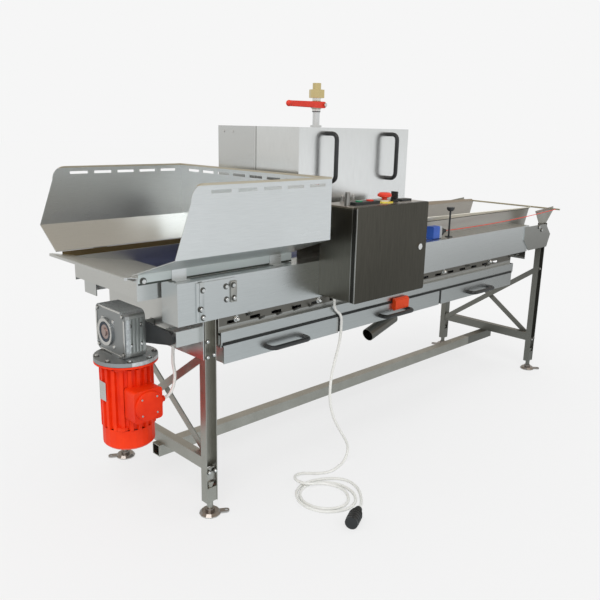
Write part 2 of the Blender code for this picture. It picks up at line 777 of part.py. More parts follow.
def make_frame():
    for side, x, front in (("left", LEG_LEFT_X, LEG_FRONT_LEFT), ("right", LEG_RIGHT_X, LEG_FRONT_RIGHT)):
        end_frame("end_frame_" + side, x, front)
        for place, facing in (("front_", -1), ("rear_", 1)):
            y = foot_centre(facing * front, facing)
            foot("foot_" + place + side, x, y, LUG_TURNS_DEG[place + side])
    half = STRETCHER_SIZE / 2
    top = CROSS_BAR_Z - GAP
    ends = (LEG_LEFT_X - STRETCHER_OVERHANG, LEG_RIGHT_X + STRETCHER_OVERHANG)
    bar = shape(add_box, ends, (-half, half), (top - STRETCHER_SIZE, top))
    inner = half - STRETCHER_WALL
    bore = shape(add_box, (ends[0] - OVERRUN, ends[1] + OVERRUN), (-inner, inner),
                 (top - STRETCHER_SIZE + STRETCHER_WALL, top - STRETCHER_WALL))
    named(carve(bar, bore), "stretcher", "frame_steel")


def side_panel(name, facing):
    """A folded side: web, top flange, bottom flange between the legs, and the left end flange."""
    out, web = facing * PANEL_HALF_WIDTH, facing * PANEL_INNER
    inner = facing * FLANGE_INNER
    low = facing * (PANEL_HALF_WIDTH - BOTTOM_FLANGE_WIDTH)
    outline = [(out, PANEL_BOTTOM_Z), (out, PANEL_TOP_Z), (inner, PANEL_TOP_Z), (inner, PANEL_TOP_Z - PLATE),
               (web, PANEL_TOP_Z - PLATE), (web, PANEL_BOTTOM_Z)]
    panel = shape(add_prism, outline, 0, PANEL_X0, PANEL_X1)
    flange = shape(add_box, (PAN_X0, RIGHT_WALL_X - GAP), sorted((low, out - facing * WELD_LAP)),
                   (PANEL_BOTTOM_Z, PANEL_BOTTOM_Z + PLATE))
    end = shape(add_box, (PANEL_X0, PANEL_X0 + PLATE),
                sorted((out - facing * END_FLANGE_WIDTH, out - facing * WELD_LAP)),
                (PANEL_BOTTOM_Z, PANEL_TOP_Z - WELD_LAP))
    return named(weld(panel, flange, end, slotted_rail(facing), *gussets(facing)), name, "stainless")


def slotted_rail(facing):
    """The slotted strip that hangs from a side panel's bottom flange down to the water pan."""
    face = facing * RAIL_FACE
    x0 = PAN_X0 + GAP
    x1 = PAN_END_X
    y = sorted((face, face - facing * PLATE))
    z = (PAN_TOP_Z + GAP, PANEL_BOTTOM_Z + WELD_LAP)
    rail = shape(add_box, (x0, x1), y, z)
    room = x1 - x0 - 2 * RAIL_END_MARGIN - RAIL_SLOT_LENGTH
    count = int(room / RAIL_SLOT_PITCH) + 1
    middle = (z[0] + z[1]) / 2
    bm = bmesh.new()
    for i in range(count):
        start = x0 + RAIL_END_MARGIN + i * RAIL_SLOT_PITCH
        add_box(bm, (start, start + RAIL_SLOT_LENGTH), (y[0] - OVERRUN, y[1] + OVERRUN),
                (middle - RAIL_SLOT_HEIGHT / 2, middle + RAIL_SLOT_HEIGHT / 2))
    return carve(rail, piece("slots", bm, "steel"))


def gussets(facing):
    """The plates on a side panel that reach over its two legs."""
    near = facing * (PANEL_HALF_WIDTH - WELD_LAP / 2)
    y = sorted((near, facing * (PANEL_HALF_WIDTH + GUSSET_PLATE)))
    top = PANEL_TOP_Z - GUSSET_TOP_MARGIN
    low = PANEL_BOTTOM_Z + GUSSET_TOP_MARGIN / 2
    x0, x1 = GUSSET_LEFT_X
    left = [(x0, low), (x0, top), (x1, top), (x1, low + GUSSET_CUT), (x1 - GUSSET_CUT, low)]
    x0, x1 = GUSSET_RIGHT_X
    right = [(x0, low + GUSSET_CUT), (x0, top), (x1 - GUSSET_CUT, top), (x1, top - GUSSET_CUT),
             (x1 - GUSSET_CUT / 2, low), (x0 + GUSSET_CUT, low)]
    return [shape(add_prism, left, 1, *y), shape(add_prism, right, 1, *y)]


def roller_places():
    heights = (ROLLER_OUTER_Z, ROLLER_INNER_Z, ROLLER_INNER_Z, ROLLER_OUTER_Z)
    return list(zip(ROLLER_YS, heights))


def shaft_holes(x, places, radius):
    bm = bmesh.new()
    for y, z in places:
        add_rod(bm, (x - OVERRUN, y, z), (x + BEARING_WIDTH + OVERRUN, y, z), radius, 16)
    return piece("holes", bm, "steel")


def make_end_walls():
    side = PANEL_INNER - GAP
    notch = FLANGE_INNER + INFEED_NOTCH_CLEARANCE
    low = INFEED_RAIL_BOTTOM_Z - INFEED_NOTCH_CLEARANCE
    outline = [(-side, OUTER_WALL_BOTTOM_Z), (side, OUTER_WALL_BOTTOM_Z), (side, UNDER_FLANGE_Z),
               (notch, UNDER_FLANGE_Z), (notch, low), (-notch, low), (-notch, UNDER_FLANGE_Z),
               (-side, UNDER_FLANGE_Z)]
    wall = shape(add_prism, outline, 0, OUTER_WALL_X, OUTER_WALL_X + PLATE)
    half = TORQUE_BRACKET_WIDTH / 2
    reach = GEARBOX_X + GEARBOX_THICKNESS / 2 + GAP + TORQUE_ARM_THICKNESS + GAP
    y0, y1 = TORQUE_PIN_Y - half, TORQUE_PIN_Y + half
    inside = OUTER_WALL_X + WELD_LAP
    fold = [(reach, y0), (inside, y0), (inside, y0 + PLATE), (reach + PLATE, y0 + PLATE),
            (reach + PLATE, y1 - PLATE), (inside, y1 - PLATE), (inside, y1), (reach, y1)]
    bracket = shape(add_prism, fold, 2, TORQUE_PIN_Z - TORQUE_BRACKET_HEIGHT / 2,
                    TORQUE_PIN_Z + TORQUE_BRACKET_HEIGHT / 2)
    carve(wall, shaft_holes(OUTER_WALL_X, [(0, DRIVE_Z)], (DRIVE_SHAFT_R + BEARING_R) / 2))
    weld(wall, bracket, bush(OUTER_WALL_X, 0, DRIVE_Z, DRIVE_SHAFT_R))
    named(wall, "end_wall_left", "stainless")

    inner = GUIDE_HALF - SHEET
    shoulder = INFEED_RAIL_BOTTOM_Z - INFEED_NOTCH_CLEARANCE
    crown = INFEED_END_Z - INFEED_NOTCH_CLEARANCE - SHEET
    narrow = inner - INFEED_NOTCH_CLEARANCE
    bottom = PAN_TOP_Z - PAN_FRONT_HEIGHT
    outline = [(-side, bottom), (side, bottom), (side, shoulder), (narrow, shoulder), (narrow, crown),
               (-narrow, crown), (-narrow, shoulder), (-side, shoulder)]
    wall = shape(add_prism, outline, 0, BEARING_WALL_X, BEARING_WALL_X + PLATE)
    carve(wall, shaft_holes(BEARING_WALL_X, roller_places(), (ROLLER_SHAFT_R + BEARING_R) / 2),
          shaft_holes(BEARING_WALL_X, [(0, DRIVE_Z)], DRIVE_SHAFT_R + RUNNING_GAP))
    weld(wall, *[bush(BEARING_WALL_X, y, z, ROLLER_SHAFT_R) for y, z in roller_places()])
    named(wall, "bearing_wall", "stainless")

    low = GUIDE_BOTTOM_Z - INFEED_NOTCH_CLEARANCE
    outline = [(-side, RIGHT_WALL_BOTTOM_Z), (side, RIGHT_WALL_BOTTOM_Z), (side, UNDER_FLANGE_Z),
               (notch, UNDER_FLANGE_Z), (notch, low), (-notch, low), (-notch, UNDER_FLANGE_Z),
               (-side, UNDER_FLANGE_Z)]
    wall = shape(add_prism, outline, 0, RIGHT_WALL_X, RIGHT_WALL_X + PLATE)
    carve(wall, shaft_holes(RIGHT_WALL_X, roller_places(), ROLLER_SHAFT_R + RUNNING_GAP))
    named(wall, "end_wall_right", "stainless")


def tray_spans():
    """The x ranges of the three trays, from left to right."""
    spans = []
    x = PAN_X0 + TRAY_SPACING / 2
    for length in TRAY_LENGTHS:
        spans.append((x, x + length))
        x += length + TRAY_SPACING
    return spans


def make_pan():
    """The water pan: a folded floor that falls to the trays, its front strip and the trays' runners."""
    front = -PANEL_HALF_WIDTH - PAN_FACE_PROUD
    back = PANEL_HALF_WIDTH - RAIL_FACE_SETBACK
    bottom = PAN_TOP_Z - PAN_FRONT_HEIGHT
    fall_y = TRAY_FRONT_Y + TRAY_DEPTH
    ridge = bottom + PAN_RIDGE_RISE
    fold = [(back, PAN_TOP_Z), (back - PLATE, PAN_TOP_Z), (back - PLATE, ridge + PLATE),
            (fall_y, bottom + PLATE), (fall_y, bottom), (back, ridge)]
    floor = shape(add_prism, fold, 0, PAN_X0, PAN_END_X)
    lip = -RAIL_FACE + PLATE
    strip = [(front, bottom), (front, PAN_TOP_Z), (lip, PAN_TOP_Z), (lip, PAN_TOP_Z - PLATE),
             (front + PLATE, PAN_TOP_Z - PLATE), (front + PLATE, bottom)]
    face = shape(add_prism, strip, 0, PAN_X0, PAN_END_X)
    spans = tray_spans()
    edges = [spans[0][0] - TRAY_SPACING / 2]
    edges += [(a[1] + b[0]) / 2 for a, b in zip(spans, spans[1:])]
    edges += [PAN_END_X]
    parts = [floor, face]
    rim_z = TRAY_TOP_Z - TRAY_RIM / 2
    ledge = RUNNER_LEDGE + TRAY_SPACING / 2
    for i, x in enumerate(edges):
        web = (x, x + PLATE) if i == 0 else (x - PLATE, x)
        if 0 < i < len(edges) - 1:
            web = (x - PLATE / 2, x + PLATE / 2)
        crown = ROLLER_INNER_Z - ROLLER_R - PAN_WEB_CLEARANCE
        parts.append(shape(add_box, web, (front + WELD_LAP, back - WELD_LAP), (bottom, crown)))
        parts.append(shape(add_box, web, (front + PLATE, fall_y), (rim_z - PLATE, bottom + WELD_LAP)))
        left = x if i == 0 else x - ledge
        right = x if i == len(edges) - 1 else x + ledge
        parts.append(shape(add_box, (left, right), (front + PLATE, fall_y), (rim_z - PLATE, rim_z)))
    named(weld(*parts), "water_pan", "stainless")


def settling_tray(name, span):
    """An open tray with a rim that slides on the runners, and a front plate that covers its gap."""
    y0, y1 = TRAY_FRONT_Y, TRAY_FRONT_Y + TRAY_DEPTH - PLATE
    side = RUNNER_LEDGE + 2 * GAP
    z0, z1 = TRAY_TOP_Z - TRAY_HEIGHT, TRAY_TOP_Z
    body = (span[0] + side, span[1] - side)
    rim_z = TRAY_TOP_Z - TRAY_RIM / 2 + GAP
    front = shape(add_box, span, (y0, y0 + PLATE), (z0, z1))
    tub = shape(add_box, body, (y0 + WELD_LAP, y1), (z0, z1))
    rim = shape(add_box, (span[0] + 2 * GAP, span[1] - 2 * GAP),
                (y0 + PLATE + PAN_FACE_PROUD + TRAY_FACE_PROUD, y1), (rim_z, z1))
    hollow = shape(add_box, (body[0] + SHEET, body[1] - SHEET), (y0 + PLATE, y1 - SHEET),
                   (z0 + SHEET, z1 + OVERRUN))
    return carve(weld(front, tub, rim), hollow)


def tray_handle(name, centre_x, body_front):
    """A black pull: two posts and a slightly bowed bar."""
    half = HANDLE_LENGTH / 2
    z = TRAY_TOP_Z - HANDLE_Z_BELOW_RIM
    start, out = body_front - GAP, body_front - HANDLE_REACH
    bend = HANDLE_REACH / 2
    path = [(centre_x - half, start, z), (centre_x - half, out + bend, z)]
    path += [(centre_x - half + bend + bend * math.cos(a), out + bend + bend * math.sin(a), z)
             for a in (math.radians(d) for d in (202.5, 225, 247.5, 270))]
    path += [(centre_x + half - bend + bend * math.cos(a), out + bend + bend * math.sin(a), z)
             for a in (math.radians(d) for d in (270, 292.5, 315, 337.5))]
    path += [(centre_x + half, out + bend, z), (centre_x + half, start, z)]
    bm = bmesh.new()
    add_sweep(bm, path, HANDLE_ROD_R, FINE)
    return piece(name, bm, "black_plastic", 40)


def make_drain(centre_x):
    """The sloping pipe under the middle tray, with the tab that carries it."""
    start = Vector((centre_x + DRAIN_RUN / 2, TRAY_FRONT_Y + TRAY_DEPTH / 4,
                    TRAY_TOP_Z - TRAY_HEIGHT - DRAIN_PIPE_R))
    run = Vector((-DRAIN_RUN, 0, -DRAIN_DROP))
    bore = DRAIN_PIPE_R - DRAIN_PIPE_WALL
    ring = [(bore, 0), (DRAIN_PIPE_R, 0), (DRAIN_PIPE_R, run.length), (bore, run.length)]
    pipe = shape(add_turned, ring, start, run, 16, closed=True)
    slope = DRAIN_DROP / DRAIN_RUN
    crest = start.z + DRAIN_PIPE_R * DRAIN_HANGER_SHARE * math.hypot(1, slope)
    under = TRAY_TOP_Z - TRAY_HEIGHT - GAP
    x0, x1 = start.x - DRAIN_PIPE_R * 2, start.x - DRAIN_PIPE_R / 2
    tab = [(x0, crest - slope * (start.x - x0)), (x1, crest - slope * (start.x - x1)), (x1, under),
           (x0, under)]
    half = DRAIN_PIPE_R * (1 - DRAIN_HANGER_SHARE) * 2
    hanger = shape(add_prism, tab, 1, start.y - half, start.y + half)
    named(weld(pipe, hanger), "drain_pipe", "stainless", 30)


def make_trays():
    names = ("left", "middle", "right")
    for name, span in zip(names, tray_spans()):
        tray = settling_tray("tray_" + name, span)
        centre = (span[0] + span[1]) / 2
        if name == "middle":
            make_drain(centre)
        named(tray, "tray_" + name, "stainless")
        tray_handle("tray_handle_" + name, centre, TRAY_FRONT_Y)


def make_latch():
    """The orange catch on the middle tray, which hooks up in front of the pan's strip."""
    span = tray_spans()[1]
    x = span[0] + (span[1] - span[0]) * LATCH_SHARE
    half, r = LATCH_WIDTH / 2, LATCH_THICKNESS / 2
    back = TRAY_FRONT_Y - GAP
    centre = (back - r, TRAY_TOP_Z - LATCH_BELOW_RIM)
    top = centre[1] + LATCH_HEIGHT - r
    outline = arc(centre, r, 180, 360) + [(back, top), (back - r, top), (back - 2 * r, top - r)]
    bm = bmesh.new()
    add_prism(bm, outline, 0, x - half, x + half)
    pivot(piece("tray_latch", bm, "orange_plastic", 30), (x, *centre))


def sprocket_radii():
    """The drive and the outer rollers share a radius; an inner roller's reaches the same run of chain."""
    rise = ROLLER_OUTER_Z - DRIVE_Z
    run = abs(ROLLER_YS[0])
    line = math.hypot(rise, run)
    height = ROLLER_INNER_Z - DRIVE_Z - rise * abs(ROLLER_YS[1]) / run
    inner = SPROCKET_R + height * run / line
    return (SPROCKET_R, inner, inner, SPROCKET_R)


def make_rollers():
    x0 = PAN_X0 + BEARING_WIDTH + ROLLER_END_CLEARANCE
    x1 = RIGHT_WALL_X - ROLLER_END_CLEARANCE
    half = SPROCKET_WIDTH / 2
    for i, ((y, z), radius) in enumerate(zip(roller_places(), sprocket_radii())):
        shaft = shape(add_rod, (SPROCKET_X - 2 * half, y, z), (RIGHT_WALL_X + PLATE + SHAFT_END, y, z),
                      ROLLER_SHAFT_R, 16)
        body = shape(add_prism, toothed((y, z), ROLLER_ROOT_R, ROLLER_R, ROLLER_RIBS), 0, x0, x1)
        teeth = round(2 * math.pi * radius / (CHAIN_WIDTH + GAP))
        wheel = shape(add_prism, toothed((y, z), radius - TOOTH_DEPTH, radius - GAP, teeth), 0,
                      SPROCKET_X - half, SPROCKET_X + half)
        name = "washing_roller_{}".format(i + 1)
        pivot(named(weld(body, shaft, wheel), name, "blue_plastic"), (x0, y, z))


def bush(wall_x, y, z, shaft_radius):
    """A flanged bush that is welded to a wall, over its hole."""
    inner = shaft_radius + RUNNING_GAP
    profile = [(inner, 0), (BEARING_R, 0), (BEARING_R, BEARING_WIDTH / 2),
               (BEARING_R * BUSH_SHARE, BEARING_WIDTH), (inner, BEARING_WIDTH)]
    start = (wall_x + PLATE - WELD_LAP, y, z)
    return shape(add_turned, profile, start, (1, 0, 0), 16, closed=True)


def chain_loop(radius):
    """The line a strand takes at this distance round the drive sprocket and the two outer ones."""
    corners = [Vector((ROLLER_YS[0], ROLLER_OUTER_Z)), Vector((0, DRIVE_Z)),
               Vector((ROLLER_YS[-1], ROLLER_OUTER_Z))]
    points = []
    for before, here, after in zip(corners[-1:] + corners, corners, corners[1:] + corners[:1]):
        into, out = here - before, after - here
        start = math.atan2(-into.x, into.y)
        sweep = (math.atan2(-out.x, out.y) - start) % (2 * math.pi)
        points += arc(here, radius, math.degrees(start), math.degrees(start + sweep))
    return points


def make_chain():
    """One strand round the drive sprocket and the outer rollers, with the inner ones on its runs."""
    bm = bmesh.new()
    rings = []
    near, far = SPROCKET_R + GAP, SPROCKET_R + GAP + CHAIN_THICKNESS
    for side, radius in ((-1, near), (-1, far), (1, far), (1, near)):
        level = SPROCKET_X + side * CHAIN_WIDTH / 2
        rings.append([bm.verts.new((level, y, z)) for y, z in chain_loop(radius)])
    for low, high in zip(rings, rings[1:] + rings[:1]):
        for i in range(len(low)):
            j = (i + 1) % len(low)
            bm.faces.new((low[i], low[j], high[j], high[i]))
    piece("drive_chain", bm, "steel")


def make_gearbox():
    x0, x1 = GEARBOX_X - GEARBOX_THICKNESS / 2, GEARBOX_X + GEARBOX_THICKNESS / 2
    middle = -CENTRE_DISTANCE / 2
    z = DRIVE_Z + GEARBOX_Z_OFFSET
    y = (middle - GEARBOX_WIDTH / 2, middle + GEARBOX_WIDTH / 2)
    bottom = z - GEARBOX_HEIGHT / 2
    top = z + GEARBOX_HEIGHT / 2
    case = shape(add_prism, rounded(y, (bottom, top), GEARBOX_CORNER_R), 0, x0, x1)
    boss = shape(add_rod, (x0 - GEARBOX_BOSS_HEIGHT, 0, DRIVE_Z), (x0 + WELD_LAP, 0, DRIVE_Z),
                 GEARBOX_BOSS_R, ROUND)
    bm = bmesh.new()
    for i in range(GEARBOX_RIBS):
        x = x0 + GEARBOX_THICKNESS * (i + 1) / (GEARBOX_RIBS + 1)
        for edge, facing in zip(y, (-1, 1)):
            add_box(bm, (x - GEARBOX_RIB_THICKNESS / 2, x + GEARBOX_RIB_THICKNESS / 2),
                    sorted((edge - facing * WELD_LAP, edge + facing * GEARBOX_RIB_DEPTH)),
                    (bottom + GEARBOX_CORNER_R, top - GEARBOX_CORNER_R))
    ribs = piece("ribs", bm, "steel")
    low, neck_r = MOTOR_TOP_Z + GAP, GEARBOX_THICKNESS * GEARBOX_NECK_SHARE
    profile = [(0, low), (MOTOR_FLANGE_R, low), (MOTOR_FLANGE_R, low + MOTOR_FLANGE_THICKNESS),
               (neck_r, low + MOTOR_FLANGE_THICKNESS), (neck_r, bottom + GEARBOX_BOSS_HEIGHT),
               (0, bottom + GEARBOX_BOSS_HEIGHT)]
    flange = shape(add_turned, profile, (GEARBOX_X, MOTOR_Y, 0), (0, 0, 1), 32)
    bore = shape(add_rod, (x0 - GEARBOX_BOSS_HEIGHT - OVERRUN, 0, DRIVE_Z), (x1 + OVERRUN, 0, DRIVE_Z),
                 HUB_R + RUNNING_GAP, ROUND)
    chamber_r = CENTRE_DISTANCE - WORM_R + RUNNING_GAP * 3
    half = WHEEL_WIDTH / 2 + RUNNING_GAP * 3
    chamber = shape(add_rod, (GEARBOX_X - half, 0, DRIVE_Z), (GEARBOX_X + half, 0, DRIVE_Z), chamber_r, ROUND)
    worm_top = DRIVE_Z + WORM_LENGTH / 2 + OVERRUN
    tunnel = shape(add_rod, (GEARBOX_X, MOTOR_Y, MOTOR_TOP_Z - OVERRUN), (GEARBOX_X, MOTOR_Y, worm_top),
                   WORM_R + RUNNING_GAP, ROUND)
    housing = carve(weld(case, ribs, boss, flange), bore, chamber, tunnel)
    named(housing, "gearbox_housing", "cast_aluminium", 30)

    tip = CENTRE_DISTANCE - WORM_R - RUNNING_GAP
    wheel = shape(add_prism, toothed((0, DRIVE_Z), tip - WHEEL_TOOTH, tip, WHEEL_TEETH), 0,
                  GEARBOX_X - WHEEL_WIDTH / 2, GEARBOX_X + WHEEL_WIDTH / 2)
    hub = shape(add_rod, (x0 - GEARBOX_BOSS_HEIGHT, 0, DRIVE_Z), (x1, 0, DRIVE_Z), HUB_R, ROUND)
    hole = shape(add_rod, (x0 - GEARBOX_BOSS_HEIGHT - OVERRUN, 0, DRIVE_Z), (x1 + OVERRUN, 0, DRIVE_Z),
                 DRIVE_SHAFT_R + GAP, 16)
    pivot(named(carve(weld(wheel, hub), hole), "worm_wheel", "steel", 30), (GEARBOX_X, 0, DRIVE_Z))

    half = SPROCKET_WIDTH / 2
    shaft = shape(add_rod, (x0 - GEARBOX_BOSS_HEIGHT - SHAFT_END, 0, DRIVE_Z),
                  (BEARING_WALL_X + PLATE, 0, DRIVE_Z), DRIVE_SHAFT_R, 16)
    teeth = round(2 * math.pi * SPROCKET_R / (CHAIN_WIDTH + GAP))
    sprocket = shape(add_prism, toothed((0, DRIVE_Z), SPROCKET_R - TOOTH_DEPTH, SPROCKET_R - GAP, teeth), 0,
                     SPROCKET_X - half, SPROCKET_X + half)
    pivot(named(weld(sprocket, shaft), "drive_shaft", "steel", 30), (GEARBOX_X, 0, DRIVE_Z))

    x = (x1 + GAP, x1 + GAP + TORQUE_ARM_THICKNESS)
    width = TORQUE_ARM_WIDTH / 2
    big = GEARBOX_BOSS_R
    outline = arc((0, DRIVE_Z), big, -110, 100, FINE * 2) + arc((TORQUE_PIN_Y, TORQUE_PIN_Z), width, 95, 265)
    arm = shape(add_prism, outline, 0, *x)
    hole = shape(add_rod, (x[0] - OVERRUN, 0, DRIVE_Z), (x[1] + OVERRUN, 0, DRIVE_Z), HUB_R + RUNNING_GAP,
                 ROUND)
    named(carve(arm, hole), "torque_arm", "black_plastic", 30)


def make_motor():
    x, y = GEARBOX_X, MOTOR_Y
    top, bottom = MOTOR_TOP_Z, MOTOR_BODY_BOTTOM_Z
    fin_top = top - MOTOR_NECK_HEIGHT
    body = shape(add_prism, toothed((x, y), MOTOR_ROOT_R, MOTOR_R, MOTOR_FINS), 2, bottom, fin_top)
    neck = shape(add_turned, [(0, 0), (MOTOR_ROOT_R, 0), (MOTOR_FLANGE_R, MOTOR_NECK_HEIGHT - WELD_LAP * 6),
                              (MOTOR_FLANGE_R, MOTOR_NECK_HEIGHT), (0, MOTOR_NECK_HEIGHT)],
                 (x, y, fin_top - WELD_LAP), (0, 0, 1), 32)
    box_y = y - MOTOR_R - TERMINAL_BOX_DEPTH
    half = TERMINAL_BOX_WIDTH / 2
    outline = rounded((x - half, x + half), (TERMINAL_BOX_Z, TERMINAL_BOX_Z + TERMINAL_BOX_HEIGHT),
                      TERMINAL_BOX_CORNER_R)
    terminal = shape(add_prism, outline, 1, box_y, y - MOTOR_ROOT_R + OVERRUN * 2)
    small = MOTOR_SHAFT_R + RUNNING_GAP
    room = ROTOR_R + RUNNING_GAP
    cut = [(0, -OVERRUN), (small, -OVERRUN), (small, END_SHIELD), (room, END_SHIELD),
           (room, fin_top - bottom - END_SHIELD), (small, fin_top - bottom - END_SHIELD),
           (small, top - bottom + OVERRUN), (0, top - bottom + OVERRUN)]
    core = shape(add_turned, cut, (x, y, bottom), (0, 0, 1), ROUND)
    named(carve(weld(body, neck, terminal), core), "motor_housing", "motor_red", 30)

    rotor_bottom = bottom + END_SHIELD + RUNNING_GAP * 2
    rotor_top = fin_top - END_SHIELD - RUNNING_GAP * 2
    worm_low, worm_high = DRIVE_Z - WORM_LENGTH / 2, DRIVE_Z + WORM_LENGTH / 2
    fan_bottom = COWL_BOTTOM_Z + SHEET + FAN_HEIGHT / 2
    shaft_r = MOTOR_SHAFT_R
    profile = [(0, fan_bottom), (shaft_r, fan_bottom), (shaft_r, rotor_bottom), (ROTOR_R, rotor_bottom),
               (ROTOR_R, rotor_top), (shaft_r, rotor_top), (shaft_r, worm_low)]
    root = WORM_R - WHEEL_TOOTH
    step = (worm_high - worm_low) / WORM_THREADS
    for i in range(WORM_THREADS):
        for share, radius in zip(WORM_THREAD_SHARES, (root, WORM_R, WORM_R, root)):
            profile.append((radius, worm_low + (i + share) * step))
    profile += [(0, worm_high)]
    rotor = shape(add_turned, profile, (x, y, 0), (0, 0, 1), SMALL_ROUND)
    fan = shape(add_prism, bladed((x, y), FAN_HUB_R, FAN_R, FAN_BLADES), 2, fan_bottom + SHEET,
                fan_bottom + FAN_HEIGHT)
    pivot(named(weld(rotor, fan), "motor_rotor", "steel", 30), (x, y, DRIVE_Z))

    height = bottom - GAP - COWL_BOTTOM_Z
    cup = [(0, 0), (COWL_R - FINE * WELD_LAP, 0), (COWL_R, FINE * WELD_LAP), (COWL_R, height),
           (COWL_R - SHEET, height), (COWL_R - SHEET, FINE * WELD_LAP + SHEET / 2),
           (COWL_R - FINE * WELD_LAP, SHEET), (0, SHEET)]
    cowl = shape(add_turned, cup, (x, y, COWL_BOTTOM_Z), (0, 0, 1), ROUND)
    slots = []
    for i in range(COWL_SLOTS):
        reach = [COWL_R * share for share in COWL_SLOT_SHARES]
        slot = shape(add_box, reach, (-OVERRUN, OVERRUN), (-OVERRUN, SHEET + OVERRUN))
        place = Matrix.Translation((x, y, COWL_BOTTOM_Z))
        slot.data.transform(place @ Matrix.Rotation(2 * math.pi * i / COWL_SLOTS, 4, "Z"))
        slots.append(slot)
    named(carve(cowl, *slots), "fan_cowl", "motor_red", 30)

    gland_z = TERMINAL_BOX_Z + TERMINAL_BOX_HEIGHT / 2
    start = Vector((x + half + GAP, box_y + TERMINAL_BOX_DEPTH / 2, gland_z))
    route = [start + Vector(step) for step in MOTOR_CABLE_STEPS]
    end = Vector((OUTER_WALL_X - GAP, MOTOR_CABLE_END_Y, MOTOR_CABLE_END_Z))
    route += [end - Vector((MOTOR_CABLE_R * reach, 0, 0)) for reach in (4, 2, 0)]
    cord("motor_cable", smooth_curve(route, 2), MOTOR_CABLE_R, "white_cable", 2)


def hopper_side(facing):
    top, fold = HOPPER_TOP_Z, HOPPER_FOLD_Z
    y0, y1 = facing * HOPPER_TOP_HALF, facing * HOPPER_BOTTOM_HALF
    inner = y0 - facing * SHEET
    outline = [(y0, top), (y0, fold), (y1, HOPPER_BOTTOM_Z), (y1, HOPPER_BOTTOM_Z + SHEET),
               (inner, fold + SHEET / 2), (inner, top)]
    wall = shape(add_prism, outline, 0, HOPPER_BOTTOM_X - OVERRUN, HOPPER_END_X)
    rim_y = sorted((y0, y0 - facing * HOPPER_RIM_WIDTH))
    rim = shape(add_box, (HOPPER_BOTTOM_X - OVERRUN, HOPPER_END_X), rim_y, (top - HOPPER_RIM_HEIGHT, top))
    low, high = PANEL_TOP_Z + GAP, HOPPER_BOTTOM_Z + SHEET / 2
    toe, heel = y1 + facing * HOPPER_TAB_FOOT, y1 + facing * SHEET
    tab = [(y1, high), (y1, low), (toe, low), (toe, low + SHEET), (heel, low + SHEET), (heel, high)]
    tabs = [shape(add_prism, tab, 0, x, x + HOPPER_TAB_LENGTH)
            for x in (HOPPER_END_X - HOPPER_TAB_LENGTH * 2, HOPPER_FOLD_X + HOPPER_TAB_LENGTH * 2)]
    return [wall, rim] + tabs


def make_hopper():
    top, fold = HOPPER_TOP_Z, HOPPER_FOLD_Z
    half, low = HOPPER_TOP_HALF - SHEET / 2, HOPPER_BOTTOM_HALF
    gate = HOPPER_GATE_HALF
    bottom = HOPPER_BOTTOM_Z
    outline = [(-half, top), (half, top), (half, fold), (low, bottom), (gate, bottom), (gate, HOPPER_GATE_Z),
               (-gate, HOPPER_GATE_Z), (-gate, bottom), (-low, bottom), (-half, fold)]
    end = shape(add_prism, outline, 0, HOPPER_END_X - SHEET, HOPPER_END_X - WELD_LAP / 2)
    rim = shape(add_box, (HOPPER_END_X - HOPPER_RIM_WIDTH, HOPPER_END_X - WELD_LAP / 2), (-half, half),
                (top - HOPPER_RIM_HEIGHT, top - WELD_LAP / 4))
    walls = weld(end, rim, *hopper_side(-1), *hopper_side(1))
    radius = HOPPER_CORNER_R
    wide = HOPPER_TOP_HALF + OVERRUN
    left = HOPPER_BOTTOM_X - 2 * OVERRUN
    corner = arc((HOPPER_RIM_X + radius, top - radius), radius, 90, 180)
    edge = [(left, top + OVERRUN), (HOPPER_RIM_X + radius, top + OVERRUN)] + corner
    edge += [(HOPPER_FOLD_X, fold), (HOPPER_BOTTOM_X, bottom), (HOPPER_BOTTOM_X, bottom - OVERRUN),
             (left, bottom - OVERRUN)]
    trim = shape(add_prism, edge, 1, -wide, wide)
    slot_top = top - HOPPER_RIM_HEIGHT - HOPPER_SLOT_DROP
    slot_z = (slot_top - HOPPER_SLOT_HEIGHT, slot_top)
    bm = bmesh.new()
    first = HOPPER_RIM_X + radius
    count = int((HOPPER_END_X - first) / HOPPER_SLOT_PITCH)
    for i in range(count):
        x = first + (i + HOPPER_SLOT_START_SHARE) * HOPPER_SLOT_PITCH
        for y in ((-wide, -half + OVERRUN), (half - OVERRUN, wide)):
            add_box(bm, (x, x + HOPPER_SLOT_LENGTH), y, slot_z)
    across = int(2 * half / HOPPER_SLOT_PITCH)
    start = -across * HOPPER_SLOT_PITCH / 2 + (HOPPER_SLOT_PITCH - HOPPER_SLOT_LENGTH) / 2
    for i in range(across):
        y = start + i * HOPPER_SLOT_PITCH
        add_box(bm, (HOPPER_END_X - 2 * OVERRUN, HOPPER_END_X + OVERRUN), (y, y + HOPPER_SLOT_LENGTH), slot_z)
    named(carve(walls, trim, piece("slots", bm, "steel")), "hopper", "stainless")


